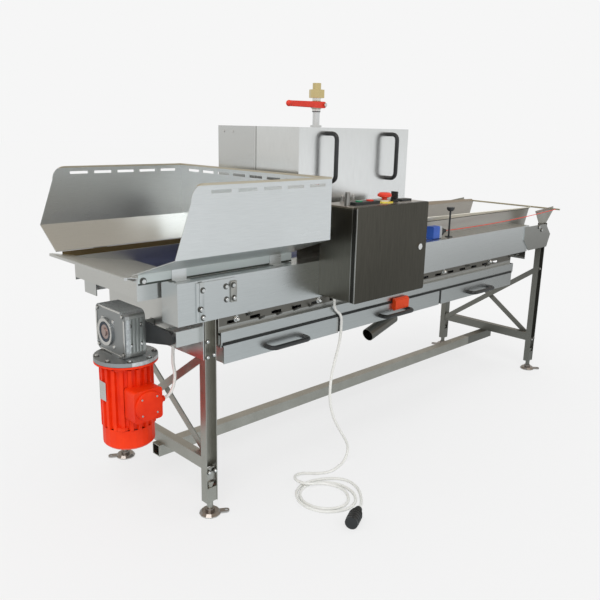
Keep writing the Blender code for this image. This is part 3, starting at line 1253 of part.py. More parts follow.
def make_infeed():
    """The sloping infeed plate with its side rails and end plate, and the knobs that clamp it."""
    slope = (INFEED_END_Z - INFEED_LIP_Z) / (PAN_X0 - INFEED_LIP_X)

    def height(x):
        return INFEED_LIP_Z + slope * (x - INFEED_LIP_X)
    inner = FLANGE_INNER - GAP - SHEET
    wide = HOPPER_BOTTOM_HALF - GAP
    neck = INFEED_LIP_X + INFEED_LIP_LENGTH
    corners = [(INFEED_LIP_X, -wide), (neck, -wide), (neck, -inner), (PAN_X0, -inner), (PAN_X0, inner),
               (neck, inner), (neck, wide), (INFEED_LIP_X, wide)]
    plate = shape(add_sheet, [(x, y, height(x)) for x, y in corners], -SHEET)
    hem = shape(add_box, (INFEED_LIP_X - INFEED_HEM, INFEED_LIP_X + SHEET), (-wide, wide),
                (INFEED_LIP_Z - INFEED_HEM, INFEED_LIP_Z))
    parts = [plate, hem]
    end_x = HOPPER_END_X - SHEET
    for facing in (-1, 1):
        y = sorted((facing * (inner - WELD_LAP), facing * (inner + SHEET)))
        outline = [(INFEED_RAIL_X0, INFEED_RAIL_BOTTOM_Z), (end_x, INFEED_RAIL_BOTTOM_Z),
                   (end_x, INFEED_RAIL_TOP_Z), (INFEED_RAIL_X0, INFEED_RAIL_TOP_Z)]
        parts.append(shape(add_prism, outline, 1, *y))
    low = INFEED_RAIL_BOTTOM_Z + INFEED_HEM
    parts.append(shape(add_box, (INFEED_RAIL_X0, INFEED_RAIL_X0 + SHEET), (-inner, inner),
                       (low, INFEED_END_PLATE_TOP_Z)))
    parts.append(shape(add_box, (INFEED_RAIL_X0 - INFEED_HEM, INFEED_RAIL_X0 + SHEET), (-inner, inner),
                       (INFEED_END_PLATE_TOP_Z - SHEET, INFEED_END_PLATE_TOP_Z)))
    named(weld(*parts), "infeed_tray", "stainless")
    z = PANEL_TOP_Z + INFEED_KNOB_R + SHEET
    start = (INFEED_KNOB_X, -FLANGE_INNER, z)
    r = INFEED_KNOB_R
    profile = [(0, 0), (r / 3, 0), (r / 3, r), (r, r), (r, r * 2), (0, r * 2)]
    bm = bmesh.new()
    add_turned(bm, profile, start, (0, -1, 0), SMALL_ROUND)
    pivot(piece("infeed_knob", bm, "black_plastic", 30), start)


def hood_shell(facing):
    """Half of the hood: a long wall, half of each end wall with its gate, and half of the top."""
    bottom = PANEL_TOP_Z + GAP
    seam = facing * HOOD_SEAM / 2
    out = facing * HOOD_HALF_WIDTH
    gate = facing * HOOD_GATE_HALF
    lap = out - facing * WELD_LAP
    parts = [shape(add_box, (HOOD_X0, HOOD_X1), sorted((out, out - facing * SHEET)), (bottom, HOOD_TOP_Z))]
    top = HOOD_TOP_Z - WELD_LAP / 4
    outline = [(lap, bottom + WELD_LAP / 4), (lap, top), (seam, top), (seam, HOOD_GATE_TOP_Z),
               (gate, HOOD_GATE_TOP_Z), (gate, bottom + WELD_LAP / 4)]
    inset = WELD_LAP / 4
    for x in ((HOOD_X0 + inset, HOOD_X0 + SHEET), (HOOD_X1 - SHEET, HOOD_X1 - inset)):
        parts.append(shape(add_prism, outline, 0, *x))
    parts.append(shape(add_box, (HOOD_X0 + inset, HOOD_X1 - inset), sorted((seam, lap)), (top - SHEET, top)))
    return weld(*parts)


def make_hood():
    rear = hood_shell(1)
    start, end = (PIPE_X, PIPE_Y, HOOD_TOP_Z - 2 * OVERRUN), (PIPE_X, PIPE_Y, HOOD_TOP_Z + OVERRUN)
    hole = shape(add_rod, start, end, PIPE_R + RUNNING_GAP, 16)
    named(carve(rear, hole), "hood_rear", "stainless")
    named(hood_shell(-1), "hood_front", "stainless")
    for name, x in zip(("left", "right"), HOOD_HANDLE_XS):
        bm = bmesh.new()
        start = -HOOD_HALF_WIDTH - GAP
        out = -HOOD_HALF_WIDTH - HOOD_HANDLE_REACH
        r = HOOD_HANDLE_BEND_R
        low, high = HOOD_HANDLE_Z0, HOOD_HANDLE_Z0 + HOOD_HANDLE_HEIGHT
        path = [(x, start, low), (x, out + r, low)]
        path += [(x, y, z) for y, z in arc((out + r, low + r), r, 247.5, 180, 3)]
        path += [(x, y, z) for y, z in arc((out + r, high - r), r, 180, 112.5, 3)]
        path += [(x, out + r, high), (x, start, high)]
        add_sweep(bm, path, HOOD_HANDLE_R, FINE)
        piece("hood_handle_" + name, bm, "black_plastic", 40)


def make_water_supply():
    top = HOOD_TOP_Z
    collar = PIPE_R * PIPE_COLLAR_SHARE
    collar_top = top + PIPE_R * PIPE_COLLAR_HEIGHT_SHARE
    profile = [(0, MANIFOLD_Z), (PIPE_R, MANIFOLD_Z), (PIPE_R, top + GAP), (collar, top + GAP),
               (collar, collar_top), (PIPE_R, collar_top), (PIPE_R, PIPE_TOP_Z), (0, PIPE_TOP_Z)]
    pipe = shape(add_turned, profile, (PIPE_X, PIPE_Y, 0), (0, 0, 1), 16)
    middle = (HOOD_X0 + HOOD_X1) / 2
    bar = shape(add_rod, (middle - MANIFOLD_HALF, PIPE_Y, MANIFOLD_Z),
                (middle + MANIFOLD_HALF, PIPE_Y, MANIFOLD_Z), MANIFOLD_R)
    nozzles = []
    for i in range(NOZZLES):
        x = middle + MANIFOLD_HALF * NOZZLE_SPREAD_SHARE * (2 * i / (NOZZLES - 1) - 1)
        tip = [(0, 0), (NOZZLE_R / 2, 0), (NOZZLE_R, NOZZLE_LENGTH / 2), (NOZZLE_R, NOZZLE_LENGTH),
               (0, NOZZLE_LENGTH)]
        low = MANIFOLD_Z - NOZZLE_LENGTH - MANIFOLD_R / 2
        nozzles.append(shape(add_turned, tip, (x, PIPE_Y, low), (0, 0, 1), FINE))
    named(weld(pipe, bar, *nozzles), "spray_pipe", "steel", 30)

    z = PIPE_TOP_Z + GAP
    h = VALVE_BODY_HEIGHT
    profile = [(0, 0), (VALVE_TAIL_R, 0)]
    for share, radius in zip(VALVE_BODY_SHARES, (VALVE_TAIL_R, VALVE_BODY_R, VALVE_BODY_R, VALVE_TAIL_R)):
        profile.append((radius, h * share))
    profile += [(VALVE_TAIL_R, VALVE_TAIL_TOP_Z - z), (0, VALVE_TAIL_TOP_Z - z)]
    body = shape(add_turned, profile, (PIPE_X, PIPE_Y, z), (0, 0, 1), 16)
    hexagon = shape(add_rod, (PIPE_X, PIPE_Y, z + h), (PIPE_X, PIPE_Y, z + h + VALVE_HEX_HEIGHT),
                    VALVE_HEX_R, 6)
    stem_z = z + h / 2
    stem_end = PIPE_Y - VALVE_BODY_R - STEM_LENGTH
    stem = shape(add_rod, (PIPE_X, PIPE_Y, stem_z), (PIPE_X, stem_end, stem_z), STEM_R)
    named(weld(body, hexagon, stem), "ball_valve", "brass", 30)

    half = LEVER_WIDTH / 2
    tip = arc((PIPE_X - LEVER_LENGTH + half, stem_z), half, 90, 270)
    outline = tip + arc((PIPE_X, stem_z), half * LEVER_EYE_SHARE, -90, 90)
    lever = shape(add_prism, outline, 1, stem_end - GAP - LEVER_THICKNESS, stem_end - GAP)
    grip_z = (stem_z - half * GRIP_WIDTH_SHARE, stem_z + half * GRIP_WIDTH_SHARE)
    grip = shape(add_box, (PIPE_X - LEVER_LENGTH + half * GRIP_END_SHARE, PIPE_X - LEVER_LENGTH / 3),
                 (stem_end - GAP - LEVER_THICKNESS * 2, stem_end - GAP - WELD_LAP), grip_z)
    pivot(named(weld(lever, grip), "valve_lever", "red_plastic"), (PIPE_X, stem_end, stem_z))


def switchgear():
    """The mounting plate at the back of the box, on four posts, with a row of plain devices."""
    x0, x1 = BOX_X0, BOX_X0 + BOX_WIDTH
    z0, z1 = BOX_BOTTOM_Z, BOX_TOP_Z
    margin = MOUNTING_PLATE_MARGIN
    back = BOX_BACK_Y - BOX_SHEET / 2
    front = back - MOUNTING_PLATE_STANDOFF
    parts = [shape(add_box, (x0 + margin, x1 - margin), (front - SHEET, front), (z0 + margin, z1 - margin))]
    for x in (x0 + 2 * margin, x1 - 2 * margin):
        for z in (z0 + 2 * margin, z1 - 2 * margin):
            parts.append(shape(add_rod, (x, front - WELD_LAP, z), (x, back, z), POST_R, FINE))
    pitch = (BOX_WIDTH - 2 * margin) / DEVICES
    low = z0 + margin + DEVICE_HEIGHT
    for i in range(DEVICES):
        x = x0 + margin + pitch * i + DEVICE_SPACING / 2
        parts.append(shape(add_box, (x, x + pitch - DEVICE_SPACING), (front - DEVICE_DEPTH, front - WELD_LAP),
                           (low, low + DEVICE_HEIGHT)))
    return parts


def make_control_box():
    x0, x1 = BOX_X0, BOX_X0 + BOX_WIDTH
    z0, z1 = BOX_BOTTOM_Z, BOX_TOP_Z
    shell = shape(add_prism, rounded((x0, x1), (z0, z1), DOOR_CORNER_R, 2), 1, BOX_FRONT_Y, BOX_BACK_Y)
    hollow = shape(add_box, (x0 + BOX_SHEET, x1 - BOX_SHEET), (BOX_FRONT_Y - OVERRUN, BOX_BACK_Y - BOX_SHEET),
                   (z0 + BOX_SHEET, z1 - BOX_SHEET))
    box = weld(carve(shell, hollow), *control_bases(), *switchgear())
    named(carve(box, *button_pockets()), "control_box", "dark_stainless")

    seam_y = BOX_FRONT_Y - DOOR_SEAM
    door = shape(add_prism, rounded((x0, x1), (z0, z1), DOOR_CORNER_R, 2), 1, DOOR_FRONT_Y, seam_y)
    hollow = shape(add_box, (x0 + BOX_SHEET, x1 - BOX_SHEET), (DOOR_FRONT_Y + BOX_SHEET, seam_y + OVERRUN),
                   (z0 + BOX_SHEET, z1 - BOX_SHEET))
    lock_x, lock_z = x1 - LOCK_INSET, (z0 + z1) / 2
    neck = LOCK_R * LOCK_NECK_SHARE
    hole = shape(add_rod, (lock_x, DOOR_FRONT_Y - OVERRUN, lock_z), (lock_x, seam_y + OVERRUN, lock_z),
                 neck + GAP)
    door = carve(door, hollow, hole)
    pivot(named(door, "control_door", "dark_stainless"), (x0, seam_y, z0))

    profile = [(0, 0), (LOCK_R, 0), (LOCK_R, LOCK_REACH - GAP), (neck, LOCK_REACH - GAP),
               (neck, LOCK_REACH + BOX_SHEET + LOCK_R), (0, LOCK_REACH + BOX_SHEET + LOCK_R)]
    lock = shape(add_turned, profile, (lock_x, DOOR_FRONT_Y - LOCK_REACH, lock_z), (0, 1, 0), SMALL_ROUND)
    cam = shape(add_box, (lock_x - LOCK_R / 2, lock_x + LOCK_R / 2),
                [DOOR_FRONT_Y + BOX_SHEET + LOCK_R * share for share in CAM_DEPTH_SHARES],
                (lock_z - LOCK_R / 3, lock_z + LOCK_R * CAM_REACH_SHARE))
    pivot(named(weld(lock, cam), "door_lock", "chrome", 30), (lock_x, DOOR_FRONT_Y, lock_z))


def button_xs():
    return (STATION_X - BUTTON_SPACING / 2, STATION_X + BUTTON_SPACING / 2)


def control_bases():
    """The fixed parts on top of the box: the buttons' frame, the stop knob's ring, a plug and a cover."""
    y, low = TOP_ROW_Y, BOX_TOP_Z - WELD_LAP
    half, wide = STATION_LENGTH / 2, STATION_WIDTH / 2
    outline = rounded((STATION_X - half, STATION_X + half), (y - wide, y + wide), wide / 3)
    parts = [shape(add_prism, outline, 2, low, BOX_TOP_Z + STATION_HEIGHT)]
    neck = ESTOP_STEM_R * ESTOP_NECK_SHARE
    height = ESTOP_RING_HEIGHT
    profile = [(0, -WELD_LAP), (ESTOP_RING_R, -WELD_LAP), (ESTOP_RING_R, height), (neck, height),
               (neck, height * 3), (0, height * 3)]
    parts.append(shape(add_turned, profile, (ESTOP_X, y, BOX_TOP_Z), (0, 0, 1), ROUND))
    shoulder = PLUG_R * PLUG_NECK_SHARE
    height = PLUG_HEIGHT
    profile = [(0, 0), (PLUG_R, 0), (PLUG_R, height / 2), (shoulder, height / 2), (shoulder, height),
               (0, height)]
    parts.append(shape(add_turned, profile, (PLUG_X, y, low), (0, 0, 1), SMALL_ROUND))
    half, wide = ROW_COVER_LENGTH / 2, ROW_COVER_WIDTH / 2
    outline = rounded((ROW_COVER_X - half, ROW_COVER_X + half), (y - wide, y + wide), wide / 3)
    parts.append(shape(add_prism, outline, 2, low, BOX_TOP_Z + ROW_COVER_HEIGHT))
    return parts


def button_pockets():
    """The holes in the bases that the buttons and the stop knob's stem move in."""
    y = TOP_ROW_Y
    top = BOX_TOP_Z + STATION_HEIGHT
    tools = [shape(add_rod, (x, y, top - BUTTON_DEPTH), (x, y, top + OVERRUN), BUTTON_R + RUNNING_GAP, 16)
             for x in button_xs()]
    start = (ESTOP_X, y, BOX_TOP_Z - BOX_SHEET - OVERRUN)
    end = (ESTOP_X, y, BOX_TOP_Z + ESTOP_RING_HEIGHT * 3 + OVERRUN)
    tools.append(shape(add_rod, start, end, ESTOP_STEM_R + RUNNING_GAP, 16))
    return tools


def make_controls():
    """The operator controls that move, on the box's top."""
    y, z = TOP_ROW_Y, BOX_TOP_Z + GAP
    top = BOX_TOP_Z + STATION_HEIGHT
    for name, x, look in zip(("start_button", "stop_button"), button_xs(), ("green_plastic", "red_plastic")):
        bm = bmesh.new()
        low = top - BUTTON_DEPTH + BUTTON_TRAVEL + GAP
        add_rod(bm, (x, y, low), (x, y, top + BUTTON_PROUD), BUTTON_R, 16)
        pivot(piece(name, bm, look, 30), (x, y, top))

    x = ESTOP_X
    neck = ESTOP_RING_HEIGHT * 3 + ESTOP_TRAVEL + GAP
    h = ESTOP_HEIGHT
    cheek = h * ESTOP_CHEEK_SHARE
    profile = [(0, 0), (ESTOP_STEM_R, 0), (ESTOP_STEM_R, neck), (ESTOP_R, neck + cheek),
               (ESTOP_R, neck + h - cheek), (ESTOP_R * ESTOP_FACE_SHARE, neck + h), (0, neck + h)]
    bm = bmesh.new()
    add_turned(bm, profile, (x, y, BOX_TOP_Z), (0, 0, 1), ROUND)
    pivot(piece("estop_button", bm, "red_plastic", 30), (x, y, BOX_TOP_Z))

    x = SELECTOR_X
    profile = [(0, 0), (SELECTOR_R, 0), (SELECTOR_R, SELECTOR_BASE_HEIGHT), (0, SELECTOR_BASE_HEIGHT)]
    base = shape(add_turned, profile, (x, y, z), (0, 0, 1), 16)
    reach = SELECTOR_R * SELECTOR_GRIP_SHARE
    low = z + SELECTOR_BASE_HEIGHT
    grip = shape(add_box, (x - SELECTOR_R / 4, x + SELECTOR_R / 4), (y - reach, y + reach),
                 (low - WELD_LAP, low + SELECTOR_GRIP_HEIGHT))
    pivot(named(weld(base, grip), "selector_switch", "black_plastic", 30), (x, y, z))


def make_outfeed():
    """The two guides with the chute between them, the guide's knob and the end rod."""
    x0 = HOOD_X1 + GAP
    half = FLANGE_INNER - GAP
    chute_z = GUIDE_BOTTOM_Z
    start, end = RIGHT_WALL_X, FRONT_GUIDE_END_X
    corners = [(start, -half, chute_z), (end, -half, chute_z - CHUTE_DROP), (end, half, chute_z - CHUTE_DROP),
               (start, half, chute_z)]
    parts = [shape(add_sheet, corners, SHEET)]
    for facing, end in ((-1, FRONT_GUIDE_END_X), (1, REAR_GUIDE_END_X)):
        inner = facing * (half - SHEET)
        y = sorted((inner, inner + facing * SHEET))
        outline = [(x0, GUIDE_BOTTOM_Z), (start, GUIDE_BOTTOM_Z),
                   (end - GUIDE_END_SLANT, GUIDE_BOTTOM_Z - CHUTE_DROP), (end, GUIDE_TOP_Z),
                   (x0, GUIDE_TOP_Z)]
        parts.append(shape(add_prism, outline, 1, *y))
        low = GUIDE_TOP_Z - WELD_LAP
        rise = GUIDE_FLANGE_RISE_SHARE
        wide, narrow = GUIDE_FLANGE_START, GUIDE_FLANGE_END
        top = [(x0, inner, low), (end - WELD_LAP, inner, low),
               (end - WELD_LAP, inner + facing * narrow, low + narrow * rise),
               (x0, inner + facing * wide, low + wide * rise)]
        parts.append(shape(add_sheet, top, -SHEET * facing))
    named(weld(*parts), "outfeed_guides", "stainless")

    r = GUIDE_KNOB_R
    base = PANEL_TOP_Z + GAP
    top = GUIDE_KNOB_Z - base
    stem_y = -FLANGE_INNER - GUIDE_FLANGE_START - r
    profile = [(0, 0), (r, 0), (r, SHEET), (END_ROD_R, SHEET), (END_ROD_R, top), (r * KNOB_NECK_SHARE, top),
               (r, top + r / 2), (r, top + r), (0, top + r)]
    bm = bmesh.new()
    add_turned(bm, profile, (GUIDE_KNOB_X, stem_y, base), (0, 0, 1), SMALL_ROUND)
    pivot(piece("guide_knob", bm, "black_plastic", 30), (GUIDE_KNOB_X, stem_y, base))

    half = END_BRACKET_HALF
    bm = bmesh.new()
    add_rod(bm, (END_ROD_X, -half - END_ROD_OVERHANG, END_ROD_Z),
            (END_ROD_X, half + END_ROD_OVERHANG / 2, END_ROD_Z), END_ROD_R)
    piece("end_rod", bm, "steel", 30)


def make_pull_switch():
    z0 = PANEL_TOP_Z + GAP
    z1 = z0 + SWITCH_HEIGHT
    half = SWITCH_WIDTH / 2
    x = SWITCH_X0 + SWITCH_LENGTH
    outline = rounded((SWITCH_Y - half, SWITCH_Y + half), (z0, z1), SWITCH_CORNER_R)
    body = shape(add_prism, outline, 0, SWITCH_X0, x)
    middle = (z0 + z1) / 2
    neck, reach = SWITCH_NECK_LENGTH, SWITCH_NECK_LENGTH + SWITCH_EYE_LENGTH
    profile = [(0, 0), (SWITCH_NECK_R, 0), (SWITCH_NECK_R, neck * SWITCH_SHOULDER_SHARE),
               (SWITCH_EYE_R, neck), (SWITCH_EYE_R, reach), (0, reach)]
    eyelet = shape(add_turned, profile, (x - WELD_LAP, SWITCH_Y, middle), (1, 0, 0), 16)
    named(weld(body, eyelet), "pull_switch", "blue_plastic", 30)
    start = Vector((x - WELD_LAP + reach + GAP, SWITCH_Y, middle))
    end = Vector((END_ROD_X - END_ROD_R - PULL_WIRE_R - GAP, -END_BRACKET_HALF - END_ROD_OVERHANG / 2,
                  END_ROD_Z))
    path = []
    for i in range(SMALL_ROUND + 1):
        t = i / SMALL_ROUND
        path.append(start.lerp(end, t) - Vector((0, 0, PULL_WIRE_SAG * 4 * t * (1 - t))))
    cord("pull_wire", path, PULL_WIRE_R, "red_plastic", 1)


# Places the cable passes: from the gland down in front of the seam between two trays, where
# no tray slides, along the floor in a long turn that ends above the loops, and on to the plug
CABLE_DROP = (
    (-0.4426, -0.2940, 0.6056), (-0.4386, -0.2940, 0.5954), (-0.4322, -0.2940, 0.5866),
    (-0.4238, -0.2940, 0.5796), (-0.4153, -0.2940, 0.5726), (-0.4089, -0.2940, 0.5638),
    (-0.4049, -0.2940, 0.5536), (-0.4035, -0.2940, 0.5428), (-0.4035, -0.2940, 0.5220),
    (-0.4047, -0.2943, 0.5000), (-0.4102, -0.2955, 0.4740), (-0.4205, -0.2975, 0.4420),
    (-0.4370, -0.3000, 0.4020), (-0.4530, -0.3030, 0.3600), (-0.4625, -0.3060, 0.3100),
    (-0.4630, -0.3095, 0.2550), (-0.4455, -0.3130, 0.1930), (-0.4120, -0.3160, 0.1350),
    (-0.3870, -0.3160, 0.0980), (-0.3720, -0.3162, 0.0710), (-0.3675, -0.3168, 0.0555),
    (-0.3689, -0.3178, 0.0395), (-0.3757, -0.3194, 0.0250), (-0.3870, -0.3215, 0.0137),
    (-0.4015, -0.3245, 0.0069), (-0.4160, -0.3282, 0.0053), (-0.4330, -0.3325, 0.0053),
    (-0.4500, -0.3360, 0.0053),
)
CABLE_TURN = (
    (-0.4720, -0.3382, 0.0053), (-0.4950, -0.3345, 0.0053), (-0.5160, -0.3250, 0.0055),
    (-0.5350, -0.3115, 0.0061), (-0.5515, -0.2980, 0.0072), (-0.5690, -0.2868, 0.0088),
    (-0.5860, -0.2832, 0.0107), (-0.6010, -0.2857, 0.0127), (-0.6143, -0.2933, 0.0146),
    (-0.6241, -0.3050, 0.0162), (-0.6293, -0.3194, 0.0173), (-0.6293, -0.3346, 0.0178),
    (-0.6241, -0.3490, 0.0177), (-0.6143, -0.3607, 0.0165), (-0.6010, -0.3683, 0.0141),
    (-0.5860, -0.3713, 0.0112), (-0.5718, -0.3768, 0.0085), (-0.5588, -0.3880, 0.0065),
)
CABLE_TAIL = (
    (-0.5330, -0.5290, 0.0056), (-0.5535, -0.5480, 0.0078), (-0.5740, -0.5640, 0.0125),
    (-0.5915, -0.5752, 0.0178),
)
# The loops round the coil's middle: angle in degrees and distance
CABLE_LOOPS = (
    (24, 0.0790), (6, 0.0790), (-12, 0.0790), (-33, 0.0790), (-60, 0.0820), (-82, 0.0840),
    (-103, 0.0820), (-127, 0.0790), (-151, 0.0770), (-179, 0.0770), (-205, 0.0790), (-232, 0.0820),
    (-257, 0.0860), (-276, 0.0885), (-293, 0.0895), (-320, 0.0905), (-346, 0.0925), (-364, 0.0955),
    (-384, 0.0995), (-402, 0.1030), (-420, 0.1060), (-440, 0.1060), (-460, 0.1015), (-482, 0.0965),
    (-505, 0.0930), (-532, 0.0905), (-560, 0.0905), (-590, 0.0940), (-610, 0.0975), (-626, 0.1008),
    (-642, 0.1035), (-658, 0.1070), (-673, 0.1125), (-688, 0.1210), (-702, 0.1305), (-718, 0.1345),
    (-736, 0.1290), (-752, 0.1240),
)


def read_evenly(points, spacing):
    """Points at even distances along a smooth curve through the given ones, with both ends."""
    dense = smooth_curve(points, FINE)
    lengths = [0.0]
    for a, b in zip(dense, dense[1:]):
        lengths.append(lengths[-1] + (b - a).length)
    count = round(lengths[-1] / spacing)
    read = []
    k = 0
    for i in range(count):
        place = lengths[-1] * i / count
        while lengths[k + 1] < place:
            k += 1
        read.append(dense[k].lerp(dense[k + 1], (place - lengths[k]) / (lengths[k + 1] - lengths[k])))
    return read + [dense[-1]]


def least_gap(points, radius, apart):
    """The least clear distance of a cord to itself, between places at least this far apart along it."""
    skip = round(apart / (points[1] - points[0]).length)
    best = apart
    for i, a in enumerate(points[:-1]):
        for j in range(i + skip, len(points) - 1):
            ends = (points[i], points[i + 1], points[j], points[j + 1])
            best = min(best, segment_distance(*ends))
    return best - 2 * radius


def segment_distance(a, b, c, d):
    """The least distance between two straight pieces, read at a few places on each."""
    steps = [i / FINE for i in range(FINE + 1)]
    return min((a.lerp(b, t) - c.lerp(d, u)).length for t in steps for u in steps)


def with_straight_ends(points):
    """The same points at even spacing, but for the first and the last, which square the ends."""
    return points[:1] + read_evenly(points[1:-1], CABLE_SPACING) + points[-1:]


def make_power_cable():
    z = BOX_BOTTOM_Z - GAP
    r, length = GLAND_R, GLAND_LENGTH
    throat = CABLE_R * GLAND_THROAT_SHARE
    profile = [(0, 0), (throat, 0), (r * KNOB_NECK_SHARE, length / 2), (r, length / 2), (r, length),
               (0, length)]
    bm = bmesh.new()
    add_turned(bm, profile, (GLAND_X, GLAND_Y, z - length), (0, 0, 1), SMALL_ROUND)
    piece("cable_gland", bm, "white_cable", 30)

    start = Vector((GLAND_X, GLAND_Y, z - length - GAP))
    drop = [start, start - Vector((0, 0, 2 * CABLE_R))] + [Vector(p) for p in CABLE_DROP]
    cord("power_cable", with_straight_ends(drop), CABLE_R, "white_cable", 2)

    ahead = (drop[-1] - drop[-2]).normalized()
    start = drop[-1] + ahead * GAP
    loops = [start, start + ahead * 2 * CABLE_R] + [Vector(p) for p in CABLE_TURN]
    for degrees, radius in CABLE_LOOPS:
        angle = math.radians(degrees)
        loops.append(Vector((COIL_X + radius * math.cos(angle), COIL_Y + radius * math.sin(angle),
                             CABLE_R + GAP)))
    loops += [Vector(p) for p in CABLE_TAIL]
    heading = math.radians(PLUG_HEADING_DEG)
    ahead = Vector((math.cos(heading), math.sin(heading), 0))
    nose = Vector((PLUG_NOSE_X, PLUG_NOSE_Y, PLUG_BODY_R + GAP))
    loops += [nose - ahead * 2 * CABLE_R, nose]
    coil = with_straight_ends(loops)
    least = least_gap(coil, CABLE_R, 8 * CABLE_R)
    print("least gap of the cable's loops: {:.2f} mm".format(least * 1000))
    cord("cable_coil", coil, CABLE_R, "white_cable", 1)
    h = PLUG_BODY_LENGTH
    profile = [(0, 0), (PLUG_NOSE_R, 0), (PLUG_NOSE_R, h / 4), (PLUG_BODY_R, h / 2), (PLUG_BODY_R, h), (0, h)]
    bm = bmesh.new()
    add_turned(bm, profile, nose + ahead * GAP, ahead, 16)
    piece("plug", bm, "black_plastic", 30)


def set_origin():
    """Hangs everything on one empty, so that the origin is under the middle of the machine's box."""
    base = bpy.data.objects.new("machine_origin", None)
    bpy.context.scene.collection.objects.link(base)
    base.location = (-ORIGIN_X, -ORIGIN_Y, 0)
    for obj in list(bpy.context.scene.collection.objects):
        if obj is not base:
            obj.parent = base


def main():
    clear_scene()
    make_frame()
    side_panel("side_panel_front", -1)
    side_panel("side_panel_rear", 1)
    make_end_walls()
    make_pan()
    make_trays()
    make_latch()
    make_rollers()
    make_chain()
    make_gearbox()
    make_motor()
    make_hopper()
    make_infeed()
    make_hood()
    make_water_supply()
    make_control_box()
    make_controls()
    make_outfeed()
    make_pull_switch()
    make_power_cable()
    set_origin()


main()
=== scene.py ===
"""The looks of the roller vegetable washer: camera, light, surfaces, cords and small fittings.

Metres, +Z up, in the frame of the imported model. Places on the machine are written from its own
zero, between the legs and midway across, and at() moves them into that frame. The front is at
negative Y, and the feed is at the left, at negative X."""

import math

import bmesh
import bpy
from mathutils import Matrix, Vector


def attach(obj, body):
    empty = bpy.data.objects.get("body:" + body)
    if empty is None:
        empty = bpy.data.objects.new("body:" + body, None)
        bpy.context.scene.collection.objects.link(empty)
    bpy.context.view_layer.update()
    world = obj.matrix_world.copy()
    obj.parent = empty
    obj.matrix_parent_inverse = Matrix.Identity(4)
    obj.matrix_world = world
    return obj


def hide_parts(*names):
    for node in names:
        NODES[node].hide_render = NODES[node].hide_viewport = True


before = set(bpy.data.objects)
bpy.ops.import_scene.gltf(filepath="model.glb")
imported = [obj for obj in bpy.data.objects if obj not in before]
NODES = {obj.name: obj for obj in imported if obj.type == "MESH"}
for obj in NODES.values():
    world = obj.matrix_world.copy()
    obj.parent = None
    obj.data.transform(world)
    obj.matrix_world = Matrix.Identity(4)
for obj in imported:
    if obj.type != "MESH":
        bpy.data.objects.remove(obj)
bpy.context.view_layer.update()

# The machine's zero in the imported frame
SHIFT_X = 0.0085
SHIFT_Y = 0.02095

# Directions, and a span that is open at both ends
FRONT = (0, -1, 0)
BACK = (0, 1, 0)
LEFT = (-1, 0, 0)
RIGHT = (1, 0, 0)
UP = (0, 0, 1)
OPEN = (None, None)

# Camera, fitted to the photograph's vanishing lines
CAMERA_PLACE = (-2.0975, -1.80405, 1.2)
CAMERA_RIGHT = (0.718775, -0.694906, 0.021641)
CAMERA_DOWN = (-0.157236, -0.192801, -0.968558)
CAMERA_AHEAD = (0.677229, 0.692772, -0.247845)
CAMERA_LENS = 40.566
SENSOR_WIDTH = 36.0

# Light, background and floor; the glow is what shining surfaces see of the floor
BACKGROUND = (0.922, 0.922, 0.922)
SKY_LEVEL = (0.92, 0.92, 0.92)
SKY_LOW = (0.74, 0.76, 0.76)
SKY_HIGH = (0.54, 0.47, 0.39)
SKY_TURN = (0.05, 0.60)
SUN_STRENGTH = 0.90
SUN_ANGLE = 0.6
SUN_HEADING = (0.55, 0.45, -0.75)
FLOOR_COLOUR = (0.817, 0.817, 0.817)
FLOOR_REACH = 40.0
FLOOR_PALE_SHARE = 0.74
GLOW_SHARE = 0.85
GLOW_NEAR = (0.70, 0.76, 0.78)
GLOW_FAR_RIGHT = (0.14, 0.14, 0.13)
GLOW_FAR_FRONT = (0.90, 0.93, 0.95)
GLOW_BEHIND = (0.58, 0.57, 0.54)
GLOW_RIGHT_X = (-0.6, 3.4)
GLOW_FRONT_Y = (-3.6, -2.3)
GLOW_BEHIND_Y = (-0.4, 1.0)

# Power cable: from the gland down to the floor, a small turn, the coil, and the tail to the plug
CABLE_R = 0.005
CABLE_STEPS = 6
CABLE_FLOOR_Z = 0.0053
CABLE_START = (-0.4440, -0.2940, 0.6264)
CABLE_DROP = (
    (-0.4440, -0.2940, 0.6164),
    (-0.4426, -0.2940, 0.6056), (-0.4386, -0.2940, 0.5954), (-0.4322, -0.2940, 0.5866),
    (-0.4238, -0.2940, 0.5796), (-0.4153, -0.2940, 0.5726), (-0.4089, -0.2940, 0.5638),
    (-0.4049, -0.2940, 0.5536), (-0.4035, -0.2940, 0.5428), (-0.4035, -0.2940, 0.5220),
    (-0.4047, -0.2943, 0.5000), (-0.4102, -0.2955, 0.4740), (-0.4205, -0.2975, 0.4420),
    (-0.4370, -0.3000, 0.4020), (-0.4530, -0.3030, 0.3600), (-0.4625, -0.3060, 0.3100),
    (-0.4630, -0.3095, 0.2550), (-0.4455, -0.3130, 0.1930), (-0.4120, -0.3160, 0.1350),
    (-0.3870, -0.3160, 0.0980), (-0.3720, -0.3162, 0.0710), (-0.3675, -0.3168, 0.0555),
    (-0.3689, -0.3178, 0.0395), (-0.3757, -0.3194, 0.0250), (-0.3870, -0.3215, 0.0137),
    (-0.4015, -0.3245, 0.0069), (-0.4160, -0.3282, 0.0053), (-0.4330, -0.3325, 0.0053),
    (-0.4500, -0.3360, 0.0053),
)
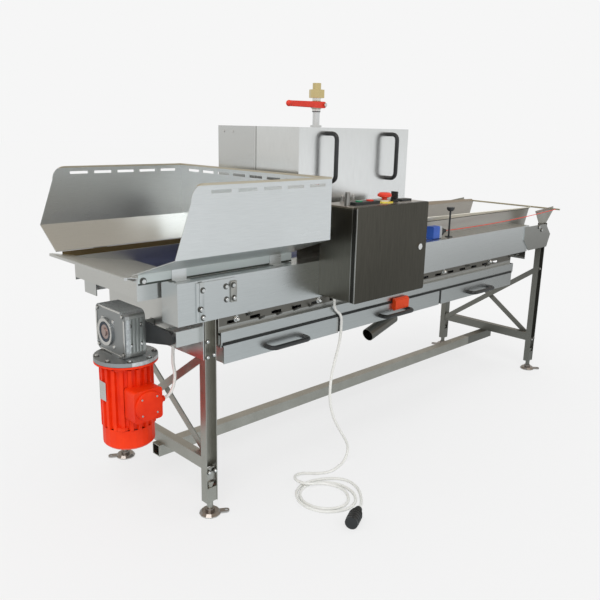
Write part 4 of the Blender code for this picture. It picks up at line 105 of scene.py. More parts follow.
CABLE_TURN = (
    (-0.4720, -0.3382, 0.0053), (-0.4950, -0.3345, 0.0053), (-0.5160, -0.3250, 0.0055),
    (-0.5350, -0.3115, 0.0061), (-0.5515, -0.2980, 0.0072), (-0.5690, -0.2868, 0.0088),
    (-0.5860, -0.2832, 0.0107), (-0.6010, -0.2857, 0.0127), (-0.6143, -0.2933, 0.0146),
    (-0.6241, -0.3050, 0.0162), (-0.6293, -0.3194, 0.0173), (-0.6293, -0.3346, 0.0178),
    (-0.6241, -0.3490, 0.0177), (-0.6143, -0.3607, 0.0165), (-0.6010, -0.3683, 0.0141),
    (-0.5860, -0.3713, 0.0112), (-0.5718, -0.3768, 0.0085), (-0.5588, -0.3880, 0.0065),
)
COIL_X = -0.618
COIL_Y = -0.440
# Degrees round the coil's middle, and the distance from it
CABLE_LOOPS = (
    (24, 0.0790), (6, 0.0790), (-12, 0.0790), (-33, 0.0790), (-60, 0.0820), (-82, 0.0840),
    (-103, 0.0820), (-127, 0.0790), (-151, 0.0770), (-179, 0.0770), (-205, 0.0790), (-232, 0.0820),
    (-257, 0.0860), (-276, 0.0885), (-293, 0.0895), (-320, 0.0905), (-346, 0.0925), (-364, 0.0955),
    (-384, 0.0995), (-402, 0.1030), (-420, 0.1060), (-440, 0.1060), (-460, 0.1015), (-482, 0.0965),
    (-505, 0.0930), (-532, 0.0905), (-560, 0.0905), (-590, 0.0940), (-610, 0.0975), (-626, 0.1008),
    (-642, 0.1035), (-658, 0.1070), (-673, 0.1125), (-688, 0.1210), (-702, 0.1305), (-718, 0.1345),
    (-736, 0.1290), (-752, 0.1240),
)
CABLE_TAIL = (
    (-0.5330, -0.5290, 0.0056), (-0.5535, -0.5480, 0.0078), (-0.5740, -0.5640, 0.0125),
    (-0.5915, -0.5752, 0.0178), (-0.6040, -0.5826, 0.0213), (-0.6130, -0.5870, 0.0213),
)

# Plug: its nose, its heading in degrees, and the ribs as distance from the nose and radius
PLUG_NOSE = (-0.6130, -0.5870, 0.0213)
PLUG_HEADING = 206
PLUG_RIBS = ((0.010, 0.0145), (0.022, 0.0190), (0.034, 0.0219), (0.046, 0.0219),
             (0.058, 0.0219), (0.070, 0.0219))
PLUG_RIB_WIDTH = 0.0065
PLUG_RIB_ROOT = 0.86
PLUG_RIB_FLAT = (0.3, 0.7)
PLUG_BASE_Z = 0.0003

# Cable from the motor's terminal box to the machine's end wall
LEAD_STEPS = 8
MOTOR_CABLE_START = (-1.0640, -0.1520, 0.3840)
MOTOR_CABLE_STEPS = ((0, 0, 0), (0.008, 0, 0), (0.016, 0, 0), (0.036, 0, 0.006), (0.054, 0.002, 0.028),
                     (0.062, 0.004, 0.064), (0.058, 0.006, 0.110))
MOTOR_CABLE_END = ((-1.0043, -0.150, 0.560), (-0.9943, -0.150, 0.560), (-0.9843, -0.150, 0.560))

# Pull wire of the safety switch
WIRE_R = 0.0016
WIRE_START = (0.2822, -0.235, 0.7943)
WIRE_END = (1.1742, -0.282, 0.829)
WIRE_SAG = 0.010
WIRE_STEPS = 24

# Grain of the surfaces
ALONG_X = (0.02, 1.0, 1.0)
ALONG_Z = (1.0, 1.0, 0.02)
EVEN = (1.0, 1.0, 1.0)
LINE_SHARE = 0.65
CLOUD_SHARE = 0.35
CLOUD_ROUGHNESS = 0.45
MOTTLE_SCALE = 9.0
MOTTLE_DETAIL = 3.0
TONE_SPAN = (0.35, 0.65)
ROUGH_SPAN = (0.3, 0.7)
METAL_ROUGH_SWING = 0.12
SKIN_ROUGH_SWING = 0.1
LINE_DEPTH = 0.0004
SKIN_DEPTH = 0.0003

# Named colours
BLACK = (0.018, 0.020, 0.021)
# Painted highlight along the control box's and its door's front left edges
PAINTED_EDGE_HIGHLIGHT = (0.50, 0.50, 0.48)
GOLD = (0.74, 0.60, 0.30)
# Painted reflection: the cream on the guides' upper edges
CREAM_REFLECTION = (0.80, 0.77, 0.66)

# Places at which a node or piece changes its look
RAIL_TOP_Z = 0.6425
RAIL_MIDDLE_Z = 0.6135
RIGHT_GUSSET_X = 0.885
RIGHT_GUSSET_Y = -0.278
SKIRT_LINE_Z = 0.7745
SKIRT_INNER_Y = 0.2283
HOOD_SEAM_Y = 0.0
HOOD_GAP_Y = 0.0035
HOOD_EDGE_Y = 0.0075
HOPPER_RIM_Z = 1.0495
RIGHT_FRAME_X = 0.9
RIGHT_FRAME_TOP = 0.76
FOOT_TOP = 0.0225
FOOT_RIM_TOP = 0.0042
BOX_X0 = -0.506
BOX_FRONT_Y = -0.4173
BOX_EDGE = 0.0025
BOX_TOP_Z = 0.959
BOX_LID_Z = BOX_TOP_Z - 0.0012
STATION_Z = BOX_TOP_Z + 0.0002
STATION_LEFT_X = -0.472
STOP_X = -0.299
STOP_Y = -0.3739
STOP_RING_R = 0.0305
STOP_RING_TOP = BOX_TOP_Z + 0.0045
STOP_NECK_R = 0.0165
STOP_NECK_Z = BOX_TOP_Z + 0.0035
DOOR_FRONT_Y = -0.4359
DOOR_SIDE_X = BOX_X0 + 0.001
DOOR_SIDE_Y = DOOR_FRONT_Y + 0.016
DOOR_EDGE_Y = DOOR_FRONT_Y + 0.003
SHAFT_FACE_X = -1.150
GEAR_PLATE_X = -1.1445
GEAR_RIB_X = -1.131
GEAR_RIB_Y = -0.104
GEAR_RIB_Z = (0.522, 0.655)
VALVE_HEX_Z = 1.3076
VALVE_FOOT_Z = 1.2600
GUIDE_OUTER_Y = -0.1835
GUIDE_EDGE_Z = 0.8335
GUIDE_LINE_Z = GUIDE_EDGE_Z - 0.004
REAR_GUIDE_EDGE_Z = 0.8560
SWITCH_GREY_X = 0.222
SWITCH_BLACK_X = 0.2385
ROLLER_END_X = -0.914

# Fineness and rounding that several pieces share
SMOOTH_ANGLE = 30
HEX_SIDES = 6
SMALL_SIDES = 12
ROD_SIDES = 16
ROUND_SIDES = 20
RING_SIDES = 32
SMALL_ROUNDING = 0.0008
CORD_FINENESS = 4

# Places round a circle: how many, and the first one's angle in degrees
FOUR_ROUND = (4, 45)
EIGHT_ROUND = (8, 22.5)

# Bolts, capped nuts and studs. An edge is given as shares of the form's radius and of a height
WASHER_R = 0.0092
WASHER_HEIGHT = 0.0014
WASHER_EDGE = (0.94, 0.7)
HEX_R = 0.0062
HEX_HEIGHT = 0.0050
HEX_EDGE = (0.86, 0.6)
DOME_R = 0.0105
DOME_HEX_SHARE = 0.84
DOME_CAP_SHARE = 0.84
DOME_HEX_EDGE = (0.9, 0.6, 0.7)
DOME_MIDDLE = 0.65
DOME_TOP = 1.49
DOME_ANGLES = (0, 20, 40, 60, 75)
DOME_SIDES = 16
STUD_LEAN = (0.35, -1.0, 0.55)
STUD_R = 0.0034
STUD_LENGTH = 0.022
STUD_ROOT = -0.002
STUD_EDGE = (0.7, 0.3)
STUD_SIDES = 10

# Strips between the hopper's lower edges and the panels
SKIRT_X = (-1.1650, -0.5900)
SKIRT_Y = (-0.2289, -0.2276)
SKIRT_Z = (0.7690, 0.7985)

# Plates on the left gussets and in the left legs
GUSSET_Y = -0.2812
PLATE_ROUNDING = 0.0005
STRIP_X = (-0.9995, -0.9840)
STRIP_Z = (0.6460, 0.7640)
STRIP_THICKNESS = 0.0016
BRACKET_X = (-0.8880, -0.8660)
BRACKET_Z = (0.6880, 0.7530)
BRACKET_THICKNESS = 0.0050
BRACKET_ROUNDING = 0.0010
BRACE_PLATE_X = (-0.9740, -0.9400)
BRACE_PLATE_Y = (-0.2680, -0.2640)
BRACE_PLATE_Z = (0.1200, 0.1640)

# Fasteners: each group's front face and its places as x and z, all mirrored behind but the studs
RAIL_Y = -0.2672
LEG_LEFT_Y = -0.2738
LEG_RIGHT_Y = -0.2763
INFEED_Y = -0.2288
GUSSET_BOLTS = ((-0.904, 0.739), (-0.902, 0.699), (1.021, 0.752), (1.050, 0.735))
STRIP_BOLTS = ((-0.989, 0.740), (-0.996, 0.684), (-0.989, 0.658))
BRACKET_BOLTS = ((-0.881, 0.741), (-0.878, 0.701))
LEG_LEFT_BOLTS = ((-0.969, 0.579), (-0.969, 0.530), (-0.946, 0.533), (-0.969, 0.152), (-0.945, 0.151))
LEG_RIGHT_BOLTS = ((1.086, 0.536), (1.084, 0.164), (1.106, 0.167))
INFEED_BOLTS = ((-1.150, 0.780),)
LEG_BOLT_SIZE = 0.85
INFEED_BOLT_SIZE = 1.15
RAIL_NUTS = ((-0.854, 0.628), (-0.495, 0.628), (0.249, 0.630), (0.607, 0.630))
RAIL_STUDS = ((-0.811, 0.632), (-0.760, 0.612), (-0.685, 0.612), (-0.610, 0.614), (-0.538, 0.614),
              (0.423, 0.630), (0.581, 0.612), (0.786, 0.629), (0.833, 0.630))

# Gearbox
DRIVE_Z = 0.582
GEAR_FACE_X = -1.1462
GEAR_FACE_BOLT_Y = (-0.099, 0.049)
GEAR_FACE_BOLT_Z = (0.531, 0.649)
GEAR_FACE_BOLT_SIZE = 0.75
GEAR_SIDE_Y = -0.1132
GEAR_SIDE_BOLT_X = (-1.130, -1.094)
GEAR_SIDE_BOLT_Z = (0.560, 0.620)
GEAR_SIDE_BOLT_SIZE = 0.7
SEAL_FACE_X = -1.1521
SEAL_R = (0.0232, 0.0315)
SEAL_DEPTH = 0.0012
MACHINED_R = (0.0325, 0.0425)
MACHINED_DEPTH = 0.0016
MACHINED_SIDES = 40
CAP_PROFILE = ((0, 0), (0.006, 0), (0.006, 0.002), (0.0045, 0.003), (0, 0.003))
CAP_CIRCLE_R = 0.056
CAP_CIRCLE_WIDTH = 0.8
CAP_CIRCLE_Y = -0.012
RIM_THICKNESS = 0.0022
RIM_UPRIGHT_Y = ((-0.1100, -0.1030), (0.0530, 0.0600))
RIM_UPRIGHT_Z = (0.5420, 0.6380)
RIM_LEVEL_Y = (-0.0880, 0.0380)
RIM_LEVEL_Z = ((0.5190, 0.5250), (0.6550, 0.6610))

# Motor
MOTOR_X = -1.112
MOTOR_Y = -0.050
FLANGE_Z = 0.5166
FLANGE_BOLT_CIRCLE_R = 0.086
FLANGE_BOLT_SIZE = 0.9
COVER_CENTRE = (-1.112, -0.1722, 0.384)
COVER_R = 0.046
COVER_HEIGHT = 0.007
COVER_EDGE = ((1, 0), (1, 0.6), (0.97, 0.9), (0.9, 1))
COVER_SIDES = 40
COVER_SCREW_CIRCLE_R = 0.036
COVER_SCREW_PROFILE = ((0, 0), (0.0032, 0), (0.0032, 0.001), (0.002, 0.0022), (0, 0.0022))
LEAD_NUT_PLACE = (-1.0642, -0.152, 0.384)
LEAD_NUT_PROFILE = ((0, 0), (0.0125, 0), (0.0125, 0.009), (0.010, 0.010), (0.010, 0.016),
                    (0.0085, 0.018), (0, 0.018))
LEAD_NUT_SIDES = 8
LUG_LEVELS = (0.300, 0.490)
LUG_CIRCLE_R = 0.066
LUG_PROFILE = ((0, -0.004), (0.020, -0.004), (0.020, 0.006), (0, 0.006))
PLATE_X = (-1.1956, -1.1936)
PLATE_Y = (-0.068, -0.032)
PLATE_Z = (0.386, 0.446)

# Pins behind the buttons, as x and radius
BOX_PINS = ((-0.420, 0.0055), (-0.365, 0.004))
BOX_PIN_Y = -0.292
BOX_PIN_HEIGHTS = (0.004, 0.005, 0.020, 0.023)
BOX_PIN_FOOT = 1.5
BOX_PIN_TIP = 0.6
BOX_PIN_SIDES = 14

# Seal of the pan, and its strips in the seams between the trays
SEAL_X = (-0.9180, 0.7850)
SEAL_Y = (-0.2866, -0.2832)
SEAL_Z = (0.5584, 0.5664)
SEAL_ROUNDING = 0.0012
TRAY_SEAMS = (-0.4047, 0.2073)
SEAM_HALF_WIDTH = 0.0052
SEAM_Y = (-0.2866, -0.2805)
SEAM_Z = (0.5030, 0.5590)

# Ball and nut of the valve's lever
LEVER_BALL_R = 0.0112
LEVER_BALL_PLACE = (-0.392, 0.0187, 1.2823)
LEVER_BALL_ANGLES = (25, 50, 75, 90, 105, 130, 155)
LEVER_NUT_PLACE = (-0.199, 0.0138, 1.2823)
LEVER_NUT_PROFILE = ((0, 0), (0.0075, 0), (0.0075, 0.004), (0.0062, 0.005), (0, 0.005))

# Rivets on the hood's left side
RIVET_X = -0.5502
RIVET_Y = (0.180, 0.128)
RIVET_Z = 1.180
RIVET_PROFILE = ((0, 0), (0.0045, 0), (0.004, 0.0015), (0, 0.002))

# Looks by name, and the CAD nodes that wear each one
LOOKS = {}
CAD_LOOKS = {
    "sheet": ("side_panel_front", "side_panel_rear", "end_wall_right"),
    "plain": ("end_wall_left", "infeed_tray"),
    "rod": ("end_rod",),
    "bearing": ("bearing_wall",),
    "guides": ("outfeed_guides",),
    "hood": ("hood_front", "hood_rear"),
    "hopper": ("hopper",),
    "tray": ("water_pan", "tray_left", "tray_middle", "tray_right"),
    "dark_pipe": ("drain_pipe",),
    "frame": ("end_frame_left", "end_frame_right", "stretcher", "foot_front_left", "foot_front_right",
              "foot_rear_left", "foot_rear_right"),
    "box": ("control_box",),
    "door": ("control_door",),
    "cast": ("gearbox_housing",),
    "red": ("motor_housing", "fan_cowl"),
    "steel": ("drive_chain", "drive_shaft", "worm_wheel", "motor_rotor"),
    "pipe": ("spray_pipe",),
    "valve": ("ball_valve",),
    "black": ("guide_knob", "hood_handle_left", "hood_handle_right", "infeed_knob", "selector_switch",
              "torque_arm", "tray_handle_left", "tray_handle_middle", "tray_handle_right", "plug"),
    "red_plastic": ("estop_button", "stop_button", "valve_lever"),
    "green": ("start_button",),
    "orange": ("tray_latch",),
    "blue": ("pull_switch",),
    "roller": ("washing_roller_1", "washing_roller_2", "washing_roller_3", "washing_roller_4"),
    "chrome": ("door_lock",),
    "cable": ("cable_gland",),
}


# Places and node trees


def at(x, y, z):
    """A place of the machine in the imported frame."""
    return Vector((x + SHIFT_X, y + SHIFT_Y, z))


def socket(node, name, value):
    """Sets one of a node's inputs by its name."""
    node.inputs[name].default_value = value


class Nodes:
    """A short hand for building one node tree."""

    def __init__(self, tree):
        self.tree = tree

    def add(self, kind, **settings):
        node = self.tree.nodes.new(kind)
        for key, value in settings.items():
            setattr(node, key, value)
        return node

    def link(self, a, b):
        self.tree.links.new(a, b)

    def feed(self, node, place, value):
        """Sets an input to a number or a colour, or links a socket to it."""
        if isinstance(value, (int, float)):
            node.inputs[place].default_value = value
        elif isinstance(value, tuple):
            node.inputs[place].default_value = (*value, 1.0)
        else:
            self.link(value, node.inputs[place])

    def maths(self, operation, a, b):
        node = self.add("ShaderNodeMath", operation=operation)
        self.feed(node, 0, a)
        self.feed(node, 1, b)
        return node.outputs[0]

    def mix(self, factor, a, b):
        """A colour that goes from a to b."""
        node = self.add("ShaderNodeMix", data_type="RGBA")
        for place, value in ((0, factor), (6, a), (7, b)):
            self.feed(node, place, value)
        return node.outputs[2]

    def blend(self, factor, a, b):
        """A plain number that goes from a to b."""
        node = self.add("ShaderNodeMix", data_type="FLOAT")
        for place, value in ((0, factor), (2, a), (3, b)):
            self.feed(node, place, value)
        return node.outputs[0]

    def ramp(self, value, low, high, out_low=0.0, out_high=1.0):
        node = self.add("ShaderNodeMapRange")
        for place, number in enumerate((value, low, high, out_low, out_high)):
            self.feed(node, place, number)
        return node.outputs[0]

    def coordinates(self, scale=EVEN):
        place = self.add("ShaderNodeTexCoord")
        mapping = self.add("ShaderNodeMapping")
        socket(mapping, "Scale", scale)
        self.link(place.outputs["Object"], mapping.inputs["Vector"])
        return mapping.outputs["Vector"]

    def noise(self, vector, scale, detail=2.0, roughness=0.6):
        node = self.add("ShaderNodeTexNoise")
        self.link(vector, node.inputs["Vector"])
        socket(node, "Scale", scale)
        socket(node, "Detail", detail)
        socket(node, "Roughness", roughness)
        return node.outputs["Fac"]

    def axis(self, index):
        place = self.add("ShaderNodeTexCoord")
        split = self.add("ShaderNodeSeparateXYZ")
        self.link(place.outputs["Object"], split.inputs[0])
        return split.outputs[index]

    def within(self, x=OPEN, y=OPEN, z=OPEN):
        """One inside a box of the machine's places; None leaves a side open."""
        inside = None
        for index, (span, shift) in enumerate(((x, SHIFT_X), (y, SHIFT_Y), (z, 0.0))):
            for operation, bound in zip(("GREATER_THAN", "LESS_THAN"), span):
                if bound is None:
                    continue
                test = self.maths(operation, self.axis(index), bound + shift)
                inside = test if inside is None else self.maths("MULTIPLY", inside, test)
        return inside

    def round_within(self, x, y, radius):
        """One inside an upright cylinder."""
        across = self.maths("SUBTRACT", self.axis(0), x + SHIFT_X)
        along = self.maths("SUBTRACT", self.axis(1), y + SHIFT_Y)
        square = self.maths("ADD", self.maths("MULTIPLY", across, across),
                            self.maths("MULTIPLY", along, along))
        return self.maths("LESS_THAN", square, radius * radius)

    def bump(self, height, strength, distance):
        node = self.add("ShaderNodeBump")
        socket(node, "Strength", strength)
        socket(node, "Distance", distance)
        self.link(height, node.inputs["Height"])
        return node.outputs["Normal"]


# Looks


def new_material(name):
    material = bpy.data.materials.new(name)
    material.use_nodes = True
    return material, Nodes(material.node_tree), material.node_tree.nodes["Principled BSDF"]


def finish_shader(n, shader, colour, rough, metal, zones):
    """Links colour and roughness, and metal where a zone changes it, with each zone's own values."""
    for mask, zone_colour, zone_rough, zone_metal in zones:
        inside = mask(n)
        colour = n.mix(inside, colour, zone_colour)
        rough = n.blend(inside, rough, zone_rough)
        if metal != zone_metal:
            metal = n.blend(inside, metal, zone_metal)
    n.link(colour, shader.inputs["Base Color"])
    n.link(rough, shader.inputs["Roughness"])
    n.feed(shader, "Metallic", metal)


def brushed(name, dark, light, rough, stretch, patch=3.0, grain=900.0, grain_bump=0.04, zones=()):
    """Metal with fine lines along one direction and slow changes of tone."""
    material, n, shader = new_material(name)
    lines = n.noise(n.coordinates(stretch), grain)
    cloud = n.noise(n.coordinates(), patch, roughness=CLOUD_ROUGHNESS)
    tone = n.maths("ADD", n.maths("MULTIPLY", lines, LINE_SHARE), n.maths("MULTIPLY", cloud, CLOUD_SHARE))
    colour = n.mix(n.ramp(tone, *TONE_SPAN), dark, light)
    swing = rough * METAL_ROUGH_SWING
    finish_shader(n, shader, colour, n.ramp(tone, *ROUGH_SPAN, rough + swing, rough - swing), 1.0, zones)
    n.link(n.bump(lines, grain_bump, LINE_DEPTH), shader.inputs["Normal"])
    return material


def moulded(name, dark, light, rough, grain=1400.0, bump=0.08, coat=0.0, gloss=0.5, zones=()):
    """Plastic, rubber or paint: a little mottled, with a fine skin."""
    material, n, shader = new_material(name)
    cloud = n.noise(n.coordinates(), MOTTLE_SCALE, MOTTLE_DETAIL)
    skin = n.noise(n.coordinates(), grain)
    colour = n.mix(n.ramp(cloud, *TONE_SPAN), dark, light)
    swing = rough * SKIN_ROUGH_SWING
    finish_shader(n, shader, colour, n.ramp(skin, *ROUGH_SPAN, rough - swing, rough + swing), 0.0, zones)
    n.link(n.bump(skin, bump, SKIN_DEPTH), shader.inputs["Normal"])
    socket(shader, "Coat Weight", coat)
    socket(shader, "Specular IOR Level", gloss)
    return material


def zone(colour, rough, metal, **spans):
    """A box of the machine's places that has its own colour, roughness and metal."""
    return (lambda n: n.within(**spans), colour, rough, metal)


def stop_ring(n):
    """The ring under the emergency stop's button."""
    ring = n.round_within(STOP_X, STOP_Y, STOP_RING_R)
    return n.maths("MULTIPLY", ring, n.within(z=(STATION_Z, STOP_RING_TOP)))


def stop_neck(n):
    """The neck that carries the emergency stop's button."""
    neck = n.round_within(STOP_X, STOP_Y, STOP_NECK_R)
    return n.maths("MULTIPLY", neck, n.within(z=(STOP_NECK_Z, None)))


def make_panel_looks():
    """The folded sheets of the trough, the trays and the strips under the hopper."""
    LOOKS["sheet"] = brushed("sheet_steel", (0.64, 0.66, 0.66), (0.70, 0.72, 0.72), 0.30, ALONG_X, zones=(
        # The rail's top band: partly the dark slotted rail, partly painted shade in the recess under the
        # panel's edge
        zone((0.20, 0.19, 0.17), 0.38, 1.0, z=(RAIL_MIDDLE_Z, RAIL_TOP_Z)),
        zone((0.46, 0.46, 0.44), 0.34, 1.0, z=(None, RAIL_MIDDLE_Z)),
        # painted shade on the right gussets
        zone((0.40, 0.40, 0.38), 0.34, 1.0, x=(RIGHT_GUSSET_X, None), y=(None, RIGHT_GUSSET_Y))))
    LOOKS["skirt"] = brushed("skirt_steel", (0.46, 0.50, 0.50), (0.52, 0.56, 0.56), 0.34, ALONG_X, zones=(
        # painted light: the front strip lighter than the rear one
        zone((0.64, 0.70, 0.69), 0.42, 0.25, y=(None, 0.0)),
        # painted shadow line at the front strip's foot
        zone((0.10, 0.11, 0.10), 0.5, 1.0, y=(None, 0.0), z=(None, SKIRT_LINE_Z)),
        # painted shade: the rear strip's inner face dark brown, inside the trough
        zone((0.26, 0.20, 0.11), 0.45, 1.0, y=(0.0, SKIRT_INNER_Y))))
    LOOKS["plain"] = brushed("plain_steel", (0.66, 0.67, 0.66), (0.72, 0.73, 0.72), 0.30, ALONG_X)
    LOOKS["bearing"] = brushed("bearing_steel", (0.42, 0.41, 0.38), (0.50, 0.49, 0.46), 0.34, ALONG_Z)
    LOOKS["tray"] = brushed("tray_steel", (0.58, 0.60, 0.60), (0.65, 0.67, 0.67), 0.30, ALONG_X)


def make_hood_looks():
    """The hood, its rear half painted darker as shade, with painted shade in the seam between its halves and
    a painted highlight along the rear half's edge, and the hopper with its rim painted cream as a
    reflection.
    """
    LOOKS["hood"] = brushed("hood_steel", (0.78, 0.78, 0.77), (0.86, 0.86, 0.85), 0.24, ALONG_Z, zones=(
        # painted shade: the rear half darker than the front half
        zone((0.70, 0.70, 0.69), 0.26, 1.0, y=(HOOD_SEAM_Y, None)),
        # painted shade in the gap at the seam
        zone((0.20, 0.20, 0.19), 0.5, 1.0, y=(HOOD_SEAM_Y, HOOD_GAP_Y)),
        # painted highlight along the rear half's edge at the seam
        zone((0.86, 0.86, 0.84), 0.3, 1.0, y=(HOOD_GAP_Y, HOOD_EDGE_Y))))
    LOOKS["hopper"] = brushed("hopper_steel", (0.72, 0.74, 0.74), (0.79, 0.81, 0.81), 0.30, ALONG_X, zones=(
        # painted reflection: the rim's upward faces cream
        zone((0.66, 0.60, 0.48), 0.4, 1.0, z=(HOPPER_RIM_Z, None)),))


def make_frame_look():
    """The frames, painted darker at the right end as shade, and the feet, browner, with a painted highlight
    on their rim.
    """
    LOOKS["frame"] = brushed("frame_steel", (0.40, 0.39, 0.35), (0.50, 0.49, 0.45), 0.40, EVEN,
                             patch=14.0, grain=500.0, grain_bump=0.10, zones=(
        # painted shade on the right end's frame
        zone((0.24, 0.24, 0.22), 0.42, 1.0, x=(RIGHT_FRAME_X, None), z=(FOOT_TOP, RIGHT_FRAME_TOP)),
        zone((0.34, 0.31, 0.29), 0.30, 1.0, z=(None, FOOT_TOP)),
        # painted highlight on the feet's lower rim
        zone((0.62, 0.59, 0.57), 0.30, 1.0, z=(None, FOOT_RIM_TOP))))


def make_box_looks():
    """The control box and its door, one steel painted in tones by how light falls on each face: a pale top,
    a darker left side and a still darker door, with painted highlights on the front left edges, painted
    shade on the door's left face, and a black station.
    """
    LOOKS["box"] = brushed("box_steel", (0.165, 0.158, 0.135), (0.215, 0.206, 0.176), 0.34, ALONG_Z, zones=(
        # painted light: the top face paler than the sides
        zone((0.62, 0.60, 0.58), 0.34, 1.0, z=(BOX_LID_Z, None)),
        # painted highlight along the box's front left edge
        zone(PAINTED_EDGE_HIGHLIGHT, 0.4, 1.0, x=(None, BOX_X0 + BOX_EDGE),
             y=(BOX_FRONT_Y - BOX_EDGE, BOX_FRONT_Y + BOX_EDGE)),
        zone(BLACK, 0.4, 0.0, z=(STATION_Z, None)),
        zone((0.34, 0.33, 0.31), 0.35, 1.0, x=(None, STATION_LEFT_X), z=(STATION_Z, None)),
        (stop_ring, (0.78, 0.66, 0.06), 0.4, 0.0),
        (stop_neck, (0.72, 0.69, 0.58), 0.4, 0.0)))
    # Painted shade: the door is the box's steel painted darker than the box's left side
    LOOKS["door"] = brushed("door_steel", (0.078, 0.073, 0.060), (0.108, 0.101, 0.084), 0.34, ALONG_Z,
                            zones=(
        # painted shade on the door's left face, in the seam beside the box
        zone((0.06, 0.06, 0.055), 0.5, 1.0, x=(None, DOOR_SIDE_X), y=(None, DOOR_SIDE_Y)),
        # painted highlight along the door's front left edge
        zone(PAINTED_EDGE_HIGHLIGHT, 0.4, 1.0, x=(None, BOX_X0 + BOX_EDGE), y=(None, DOOR_EDGE_Y))))


def make_small_metal_looks():
    """Bolts, shafts, pipes, the end rod, the valve and the lock."""
    LOOKS["bright"] = brushed("bright_steel", (0.66, 0.66, 0.65), (0.80, 0.80, 0.79), 0.22, EVEN, patch=40.0)
    LOOKS["steel"] = brushed("machined_steel", (0.42, 0.42, 0.41), (0.54, 0.54, 0.53), 0.30, EVEN,
                             patch=30.0, zones=(
        zone((0.52, 0.42, 0.40), 0.45, 1.0, x=(None, SHAFT_FACE_X)),))
    LOOKS["dark_pipe"] = brushed("dark_pipe_steel", (0.155, 0.150, 0.135), (0.205, 0.198, 0.180), 0.36, EVEN)
    LOOKS["dark_bolt"] = brushed("dark_bolt_steel", (0.10, 0.10, 0.09), (0.20, 0.20, 0.19), 0.40, EVEN,
                                 patch=60.0)
    LOOKS["pipe"] = brushed("pipe_steel", (0.74, 0.74, 0.74), (0.82, 0.82, 0.82), 0.26, ALONG_Z)
    LOOKS["valve"] = brushed("valve_nickel", (0.80, 0.79, 0.76), (0.88, 0.87, 0.84), 0.28, EVEN,
                             patch=40.0, zones=(
        zone(GOLD, 0.3, 1.0, z=(VALVE_HEX_Z, None)),
        zone((0.16, 0.16, 0.17), 0.4, 1.0, z=(None, VALVE_FOOT_Z))))
    LOOKS["chrome"] = brushed("chrome", (0.78, 0.78, 0.77), (0.86, 0.86, 0.85), 0.12, EVEN, patch=40.0)
    LOOKS["rod"] = brushed("rod_steel", (0.50, 0.48, 0.36), (0.62, 0.60, 0.47), 0.42, EVEN, patch=30.0)


def make_gearbox_look():
    """Cast metal, with painted shade on the gearbox's left face and among its ribs."""
    LOOKS["cast"] = brushed("cast_aluminium", (0.60, 0.62, 0.63), (0.86, 0.88, 0.89), 0.48, EVEN,
                            patch=28.0, grain=160.0, grain_bump=0.4, zones=(
        # painted shade on the left face
        zone((0.40, 0.42, 0.43), 0.48, 1.0, x=(None, GEAR_PLATE_X)),
        # painted shade among the ribs
        zone((0.52, 0.54, 0.53), 0.45, 1.0, x=(GEAR_RIB_X, None), y=(None, GEAR_RIB_Y), z=GEAR_RIB_Z)))


def make_guide_look():
    """The outfeed's guides, with painted cream reflections on their upper edges and a painted shadow line
    under the front one's edge.
    """
    LOOKS["guides"] = brushed("guide_steel", (0.44, 0.405, 0.36), (0.50, 0.465, 0.415), 0.32, ALONG_X,
                              zones=(
        zone((0.48, 0.465, 0.43), 0.32, 1.0, y=(None, GUIDE_OUTER_Y)),
        # painted shadow line under the front guide's edge
        zone((0.18, 0.17, 0.15), 0.5, 1.0, y=(None, GUIDE_OUTER_Y), z=(GUIDE_LINE_Z, None)),
        # painted reflections on the front and rear guides' upper edges
        zone(CREAM_REFLECTION, 0.5, 0.0, y=(None, 0.0), z=(GUIDE_EDGE_Z, None)),
        zone(CREAM_REFLECTION, 0.5, 0.0, y=(0.0, None), z=(REAR_GUIDE_EDGE_Z, None))))


def make_plastic_looks():
    """Paint, plastic and rubber."""
    LOOKS["red"] = moulded("motor_red", (0.74, 0.024, 0.002), (0.88, 0.044, 0.005), 0.38, grain=260.0,
                           bump=0.15, gloss=0.2)
    LOOKS["red_plastic"] = moulded("red_plastic", (0.70, 0.040, 0.020), (0.80, 0.060, 0.030), 0.34,
                                   gloss=0.35)
    LOOKS["green"] = moulded("green_plastic", (0.02, 0.22, 0.10), (0.03, 0.30, 0.14), 0.3, coat=0.2)
    LOOKS["orange"] = moulded("orange_plastic", (0.80, 0.060, 0.008), (0.88, 0.085, 0.012), 0.42,
                              gloss=0.25)
    LOOKS["blue"] = moulded("blue_plastic", (0.020, 0.075, 0.36), (0.035, 0.12, 0.50), 0.38, zones=(
        zone((0.36, 0.37, 0.38), 0.45, 0.0, x=(SWITCH_GREY_X, None)),
        zone(BLACK, 0.5, 0.0, x=(SWITCH_BLACK_X, None))))
    LOOKS["seal_blue"] = moulded("seal_blue", (0.010, 0.020, 0.036), (0.016, 0.030, 0.052), 0.4)
    LOOKS["roller"] = moulded("roller_plastic", (0.045, 0.060, 0.17), (0.085, 0.105, 0.27), 0.42, zones=(
        zone((0.48, 0.48, 0.47), 0.3, 1.0, x=(None, ROLLER_END_X)),))
    LOOKS["black"] = moulded("black_plastic", (0.012, 0.013, 0.014), (0.028, 0.030, 0.032), 0.36)
    LOOKS["cable"] = moulded("white_cable", (0.78, 0.78, 0.74), (0.84, 0.84, 0.81), 0.40)
    LOOKS["rubber"] = moulded("black_rubber", (0.008, 0.010, 0.010), (0.016, 0.018, 0.018), 0.6)


def dress_nodes():
    """Gives each CAD node its look."""
    for look, names in CAD_LOOKS.items():
        for name in names:
            materials = NODES[name].data.materials
            materials.clear()
            materials.append(LOOKS[look])


# Forms


